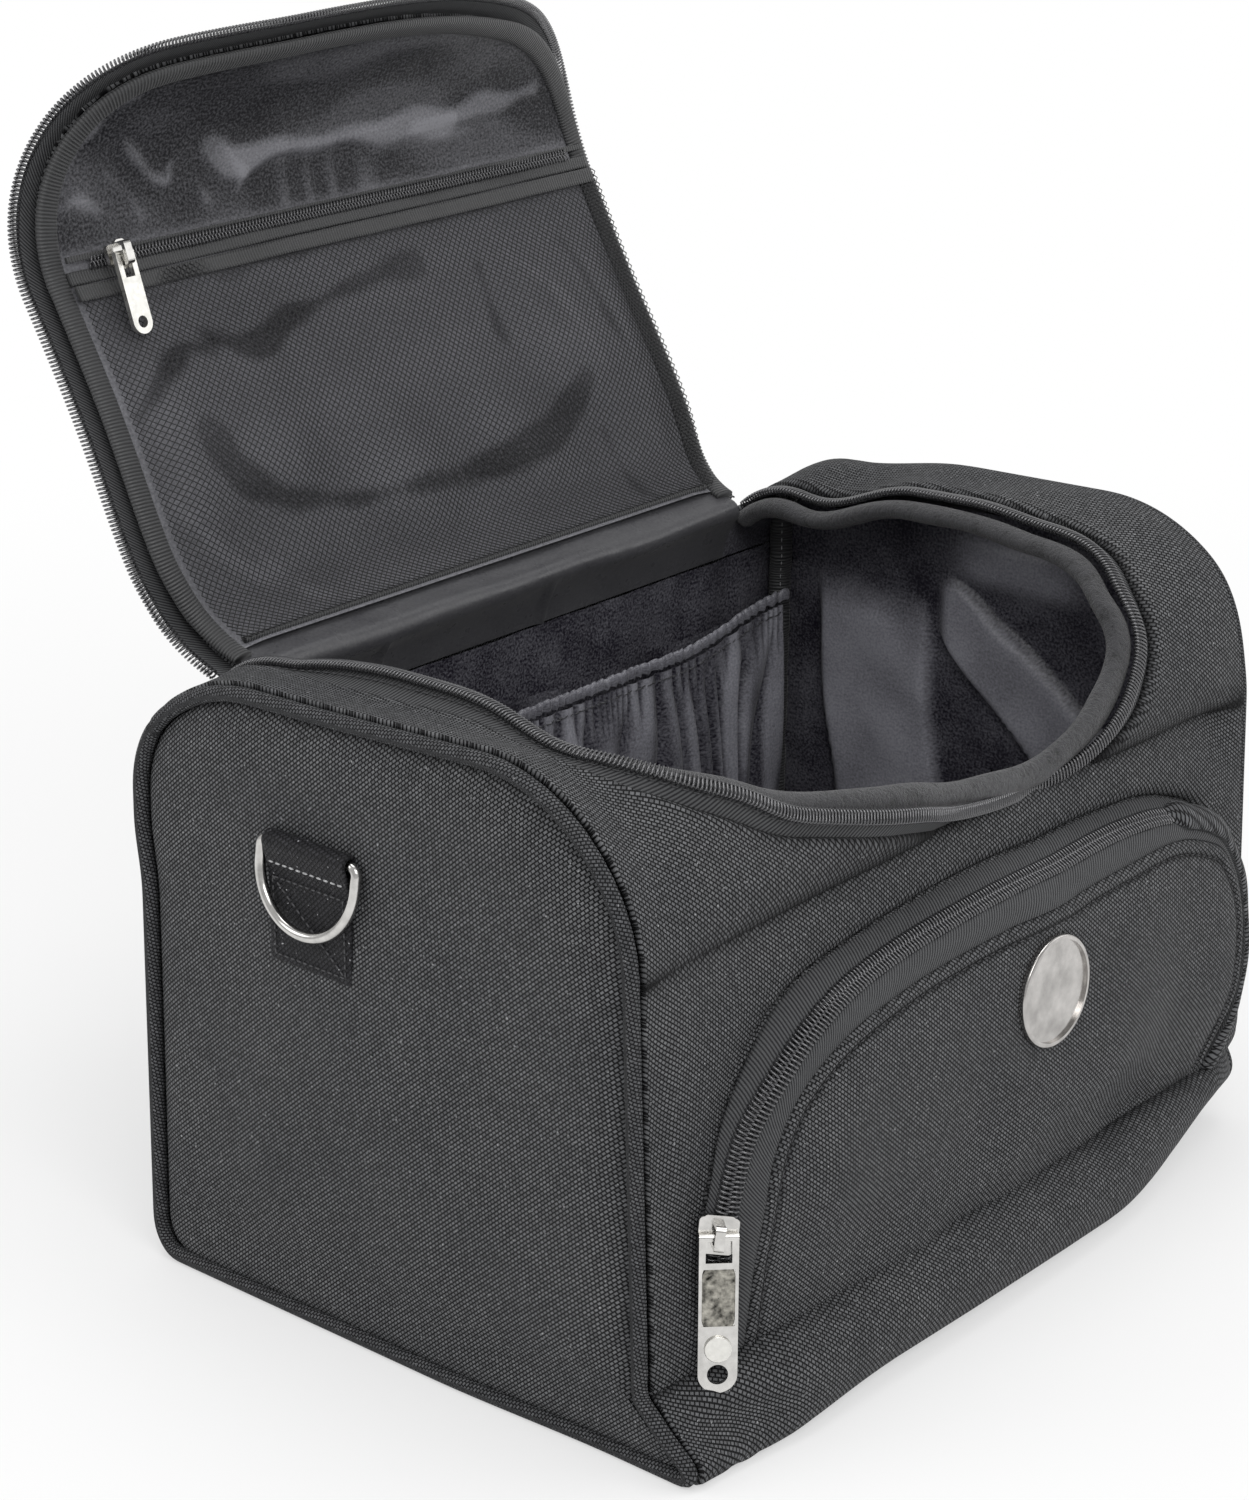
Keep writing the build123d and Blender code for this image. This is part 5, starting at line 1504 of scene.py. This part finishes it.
def dress(material, *names):
    for name in names:
        node = nodes[name]
        node.data.materials.clear()
        node.data.materials.append(material)
        for polygon in node.data.polygons:
            polygon.use_smooth = True
        soft = node.modifiers.new("edges", "BEVEL")
        soft.width = 0.00025
        soft.segments = 2
        soft.limit_method = "ANGLE"
        soft.angle_limit = math.radians(35)
        even = node.modifiers.new("shading", "WEIGHTED_NORMAL")
        even.keep_sharp = False


dress(nickel, "left_zip_slider", "right_zip_slider", "lid_pocket_slider", "front_pocket_slider",
      "left_zip_pull", "right_zip_pull", "front_pocket_pull",
      "left_side_ring", "right_side_ring", "carry_handle_rivets")
dress(satinNickel, "left_zip_stud", "right_zip_stud", "front_pocket_stud")
dress(badgeMetal, "badge")
dress(paleNickel, "lid_pocket_pull")


def addPullFaces(pullName, body):
    # a dark mottled plate let into each face of a zip pull, between its window and its stud
    spots = np.array([tuple(v.co) for v in nodes[pullName].data.vertices])
    middle = (spots.min(0) + spots.max(0)) / 2
    _, _, axes = np.linalg.svd(spots - spots.mean(0), full_matrices=False)
    down, across, through = axes
    down = down if down[2] < 0 else -down
    centre = middle
    for axis in (down, across, through):
        reach = (spots - middle) @ axis
        centre = centre + axis * (reach.min() + reach.max()) / 2
    length = np.ptp((spots - middle) @ down)
    centre = centre + down * (0.0202 - length / 2)
    for face, sign in (("Front", 1), ("Back", -1)):
        angles = np.linspace(0, math.tau, 40, endpoint=False)
        ring = np.stack([np.sign(np.cos(angles)) * np.abs(np.cos(angles)) ** 0.35 * 0.0100,
                         np.sign(np.sin(angles)) * np.abs(np.sin(angles)) ** 0.35 * 0.0051], 1)
        rows = [(0.965, 0.00052), (1.0, 0.00064), (0.985, 0.00078), (0.93, 0.00082), (0.5, 0.00084),
                (0.02, 0.00084)]
        points = np.stack([centre + down * ring[:, :1] * grow + across * ring[:, 1:] * grow
                           + through * sign * height for grow, height in rows])
        uv = np.stack([ring * grow for grow, _ in rows])
        addGrid(pullName + face + "Plate", points, darkNickel, uv, roundColumns=True, body=body,
                slotName="nickel")


for pullName in ("front_pocket_pull", "left_zip_pull", "right_zip_pull"):
    addPullFaces(pullName, nodes[pullName]["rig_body"])

print("webbing and rings")


def ribbon(name, path, out, width, thick, material, body="case", slotName="webbing", columns=18, **more):
    # a flat strap along a path
    _, up, side = frames(path, out)
    across = np.linspace(-0.5, 0.5, columns)
    points = path[:, None] + side[:, None] * (across * width)[None, :, None]
    run = np.concatenate([[0], np.cumsum(np.linalg.norm(np.diff(path, axis=0), axis=1))])
    uv = np.stack(np.meshgrid(across * width, run), -1)
    piece = addGrid(name, points, material, uv, thick=thick, offset=0.0, body=body, slotName=slotName, **more)
    edge = piece.modifiers.new("edge", "BEVEL")
    edge.width = thick * 0.35
    edge.segments = 2
    return piece


tabShape = {"foot": 0.128, "top": 0.168, "wide": 0.035, "y": 0.0255, "face": 0.1686, "loop": 0.0030}
for sideName, side in (("left", -1), ("right", 1)):
    face, loop = tabShape["face"], tabShape["loop"]
    drop = np.linspace(tabShape["foot"], tabShape["top"] - 0.001, 26)
    front = np.stack([np.full(26, face + 0.0034), drop], 1)
    bend = np.linspace(0, math.pi * 1.16, 16)
    over = np.stack([0.17185 + loop * np.cos(bend) * 0.98, tabShape["top"] + loop * np.sin(bend)], 1)
    over[0] = [0.17185 + loop * 0.9, tabShape["top"]]
    back = np.stack([np.full(12, face + 0.0011),
                     np.linspace(tabShape["top"] - 0.004, tabShape["foot"] + 0.001, 12)], 1)
    front[:, 0] = np.interp(front[:, 1], [0.128, 0.158, 0.168],
                            [face + 0.0026, face + 0.0030, 0.17185 + loop * 0.95])
    profileLine = resample(np.concatenate([front, over, back]), 90)
    path = np.stack([side * profileLine[:, 0], np.full(90, tabShape["y"]), profileLine[:, 1]], 1)
    tangent = unit(np.gradient(path, axis=0))
    out = np.cross(tangent, np.array([0.0, 1.0, 0.0]))
    tab = ribbon(sideName + "WebbingTab", path, out, tabShape["wide"], 0.0013, strapCloth)
    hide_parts(sideName + "_webbing_tab")
    y = np.linspace(-0.0158, 0.0158, 40) + tabShape["y"]
    x = side * (face + 0.0041)
    outward = np.tile([float(side), 0.0, 0.0], (40, 1))
    addStitches(sideName + "TabTopStitches",
                np.stack([np.full(40, side * (face + 0.0047)), y, np.full(40, 0.1615)], 1), outward,
                brightThread, pitch=0.0028, length=0.0022, thick=0.0008, slotName="webbing")
    low, high = 0.1305, 0.1565
    corners = [(-0.0150, low), (0.0150, low), (0.0150, high), (-0.0150, high), (-0.0150, low), (0.0150, high)]
    line = np.array([[x, tabShape["y"] + a, b] for a, b in corners])
    box = resample(line, 160)
    box[:, 0] = side * (face + 0.0034 + 0.0007 * smooth((box[:, 2] - 0.13) / 0.03))
    addStitches(sideName + "TabBoxStitches", box, np.tile([float(side), 0.0, 0.0], (160, 1)), threadFinish,
                pitch=0.0026, length=0.0020, thick=0.0006, slotName="webbing")

print("carrying handle")

handleShape = {"run": 0.086, "span": 0.150, "end": 0.026, "rise": 0.0245, "slope": 0.034, "wide": 0.026,
               "grip": 0.082, "gripWide": 0.0150, "gripThick": 0.0058}


def onHandle(x, across, height):
    # points over the lid's outside, measured from the handle's middle
    base = onSkin(np.zeros(1), np.full(1, handleShape["run"]), 0.0, False)[0]
    ahead = onSkin(np.zeros(1), np.full(1, handleShape["run"] + 0.001), 0.0, False)[0]
    up = onSkin(np.zeros(1), np.full(1, handleShape["run"]), -0.001, False)[0]
    along, out = unit(ahead - base), unit(up - base)
    points = base + np.asarray(across)[..., None] * along + np.asarray(height)[..., None] * out
    points[..., 0] = x
    return openLid(points)


foot, rise = handleShape["span"] / 2, handleShape["rise"] + 0.0012
x = [-foot - handleShape["end"], -foot - 0.004, -foot + 0.006, -foot + handleShape["slope"] - 0.006,
     -foot + handleShape["slope"] + 0.008]
z = [0.0022, 0.0022, 0.0052, rise - 0.0030, rise]
lineX, lineZ = np.array(x + [-v for v in x[::-1]]), np.array(z + z[::-1])
dense = resample(np.stack([lineX, lineZ], 1), 200)
for _ in range(60):
    dense[1:-1] = (dense[:-2] + 2 * dense[1:-1] + dense[2:]) / 4
path = onHandle(dense[:, 0], np.zeros(200), dense[:, 1])
out = onHandle(dense[:, 0], np.zeros(200), dense[:, 1] + 0.001) - path
strap = ribbon("carryHandleStrap", path, out, handleShape["wide"], 0.0022, strapCloth, body="lid")
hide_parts("carry_handle_strap")
gripLine = np.linspace(-0.5, 0.5, 90)
x = gripLine * handleShape["grip"]
path = onHandle(x, np.zeros(90), np.full(90, rise + 0.0002) - 0.0010 * np.cos(gripLine * math.pi))
out = onHandle(x, np.zeros(90), np.full(90, rise + 0.002)) - path
swell = (1 - np.abs(gripLine * 2) ** 14 * 0.30) * (1 + 0.02 * np.sin(gripLine * 40))
angles = np.linspace(0, math.tau, 28, endpoint=False)
shape = np.stack([np.sign(np.cos(angles)) * np.abs(np.cos(angles)) ** 0.75 * handleShape["gripWide"],
                  np.sign(np.sin(angles)) * np.abs(np.sin(angles)) ** 0.9 * handleShape["gripThick"]], 1)
grip = addTube("carryHandleGrip", path, 0, outerCloth, out=out, section=shape[None] * swell[:, None, None],
               body="lid", slotName="handle_fabric")
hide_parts("carry_handle_grip")
seam = onHandle(x[4:-4], np.zeros(82), np.full(82, rise - 0.0060))
addStitches("gripStitches", seam, seam - path[4:-4], threadFinish, body="lid", slotName="handle_fabric")
for sideName, side in (("left", -1), ("right", 1)):
    middle = side * (handleShape["span"] + handleShape["end"]) / 2
    a = np.linspace(-0.017, 0.017, 30)[None].repeat(30, 0)
    b = np.linspace(-0.017, 0.017, 30)[:, None].repeat(30, 1)
    corner = np.maximum(0, np.hypot(np.maximum(np.abs(a) - 0.012, 0), np.maximum(np.abs(b) - 0.012, 0)) - 0.005)
    shrink = 1 - corner * 40
    height = 0.0016 - 0.0014 * smooth((np.maximum(np.abs(a), np.abs(b)) - 0.0145) / 0.0025)
    bulge = onLid(middle + a * shrink, handleShape["run"] + b * shrink, -0.0030 - height)
    patch = addGrid(sideName + "HandlePatch", bulge, outerCloth, np.stack([a, b], -1), body="lid",
                    slotName="handle_fabric")
    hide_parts(sideName + "_handle_patch")
    ring = np.array([(-1, -1), (1, -1), (1, 1), (-1, 1), (-1, -1)]) * 0.0135
    ring = resample(ring.astype(float), 100)
    line = onLid(middle + ring[:, 0], handleShape["run"] + ring[:, 1], -0.0049)
    addStitches(sideName + "PatchStitches", line,
                line - onLid(middle + ring[:, 0], handleShape["run"] + ring[:, 1], 0.0),
                threadFinish, body="lid", slotName="handle_fabric")

print("floor, lights and camera")

stageLooks = {"floor": 0.92, "sky": 0.55, "key": 13.0, "fill": 4.5, "rim": 7.0, "top": 12.0,
              "fadeFrom": 0.30, "fadeTo": 0.95, "nearWhite": 0.50}
floorMesh = bpy.data.meshes.new("floor")
floorMesh.from_pydata([(-6, -6, 0), (6, -6, 0), (6, 6, 0), (-6, 6, 0)], [], [(0, 1, 2, 3)])
floor = bpy.data.objects.new("floor", floorMesh)
bpy.context.scene.collection.objects.link(floor)
paper = Finish("paper", (stageLooks["floor"],) * 3, 0.7, specular=0.2)
spot = paper.node("ShaderNodeTexCoord")
reach = paper.node("ShaderNodeVectorMath", operation="LENGTH")
paper.link(spot.outputs["Object"], reach.inputs[0])
fade = paper.node("ShaderNodeMapRange", interpolation_type="SMOOTHSTEP")
fade.inputs["From Min"].default_value = stageLooks["fadeFrom"]
fade.inputs["From Max"].default_value = stageLooks["fadeTo"]
fade.inputs["To Min"].default_value = stageLooks["nearWhite"]
paper.link(reach.outputs["Value"], fade.inputs["Value"])
seen = paper.node("ShaderNodeLightPath")
white = paper.node("ShaderNodeEmission")
both = paper.node("ShaderNodeMixShader")
paper.link(paper.sum(seen.outputs["Is Camera Ray"], fade.outputs["Result"], "MULTIPLY"), both.inputs["Fac"])
paper.link(paper.shader.outputs["BSDF"], both.inputs[1])
paper.link(white.outputs["Emission"], both.inputs[2])
paper.link(both.outputs["Shader"], paper.tree.nodes["Material Output"].inputs["Surface"])
floorMesh.materials.append(paper.material)

world = bpy.data.worlds.new("studio")
bpy.context.scene.world = world
world.use_nodes = True
tree = world.node_tree
background = tree.nodes["Background"]
background.inputs["Color"].default_value = (1, 1, 1, 1)
ray = tree.nodes.new("ShaderNodeLightPath")
level = tree.nodes.new("ShaderNodeMapRange")
level.inputs["To Min"].default_value = stageLooks["sky"]
level.inputs["To Max"].default_value = 1.0
tree.links.new(ray.outputs["Is Camera Ray"], level.inputs["Value"])
tree.links.new(level.outputs["Result"], background.inputs["Strength"])


def addLamp(name, where, target, size, power):
    data = bpy.data.lights.new(name, "AREA")
    data.shape = "RECTANGLE"
    data.size, data.size_y = size
    data.energy = power
    lamp = bpy.data.objects.new(name, data)
    lamp.location = where
    lamp.rotation_mode = "QUATERNION"
    lamp.rotation_quaternion = (Vector(target) - Vector(where)).to_track_quat("-Z", "Y")
    bpy.context.scene.collection.objects.link(lamp)


addLamp("key", (-0.9, -1.3, 1.5), (0, 0, 0.12), (1.1, 0.9), stageLooks["key"])
addLamp("fill", (1.5, -1.1, 0.9), (0, 0, 0.15), (1.2, 1.2), stageLooks["fill"])
addLamp("top", (0.1, 0.1, 1.9), (0, 0, 0.1), (1.3, 1.0), stageLooks["top"])
addLamp("rear", (-1.3, 1.1, 1.1), (0, 0.05, 0.2), (1.0, 0.8), stageLooks["rim"])

viewShape = {"lens": 90.05, "turn": -50.05, "down": 20.65, "roll": 0.83, "place": (-0.92125, -0.72693, 0.60148)}
turn, down, roll = (math.radians(viewShape[key]) for key in ("turn", "down", "roll"))
forward = Vector((-math.sin(turn) * math.cos(down), math.cos(turn) * math.cos(down), -math.sin(down)))
right = Vector((math.cos(turn), math.sin(turn), 0))
up = right.cross(forward)
right, up = math.cos(roll) * right + math.sin(roll) * up, -math.sin(roll) * right + math.cos(roll) * up
camera = bpy.data.objects.new("camera", bpy.data.cameras.new("camera"))
bpy.context.scene.collection.objects.link(camera)
camera.data.lens = viewShape["lens"]
axes = Matrix((right, up, -forward)).transposed().to_4x4()
camera.matrix_world = Matrix.Translation(viewShape["place"]) @ axes
bpy.context.scene.camera = camera
bpy.context.scene.view_settings.view_transform = "Standard"
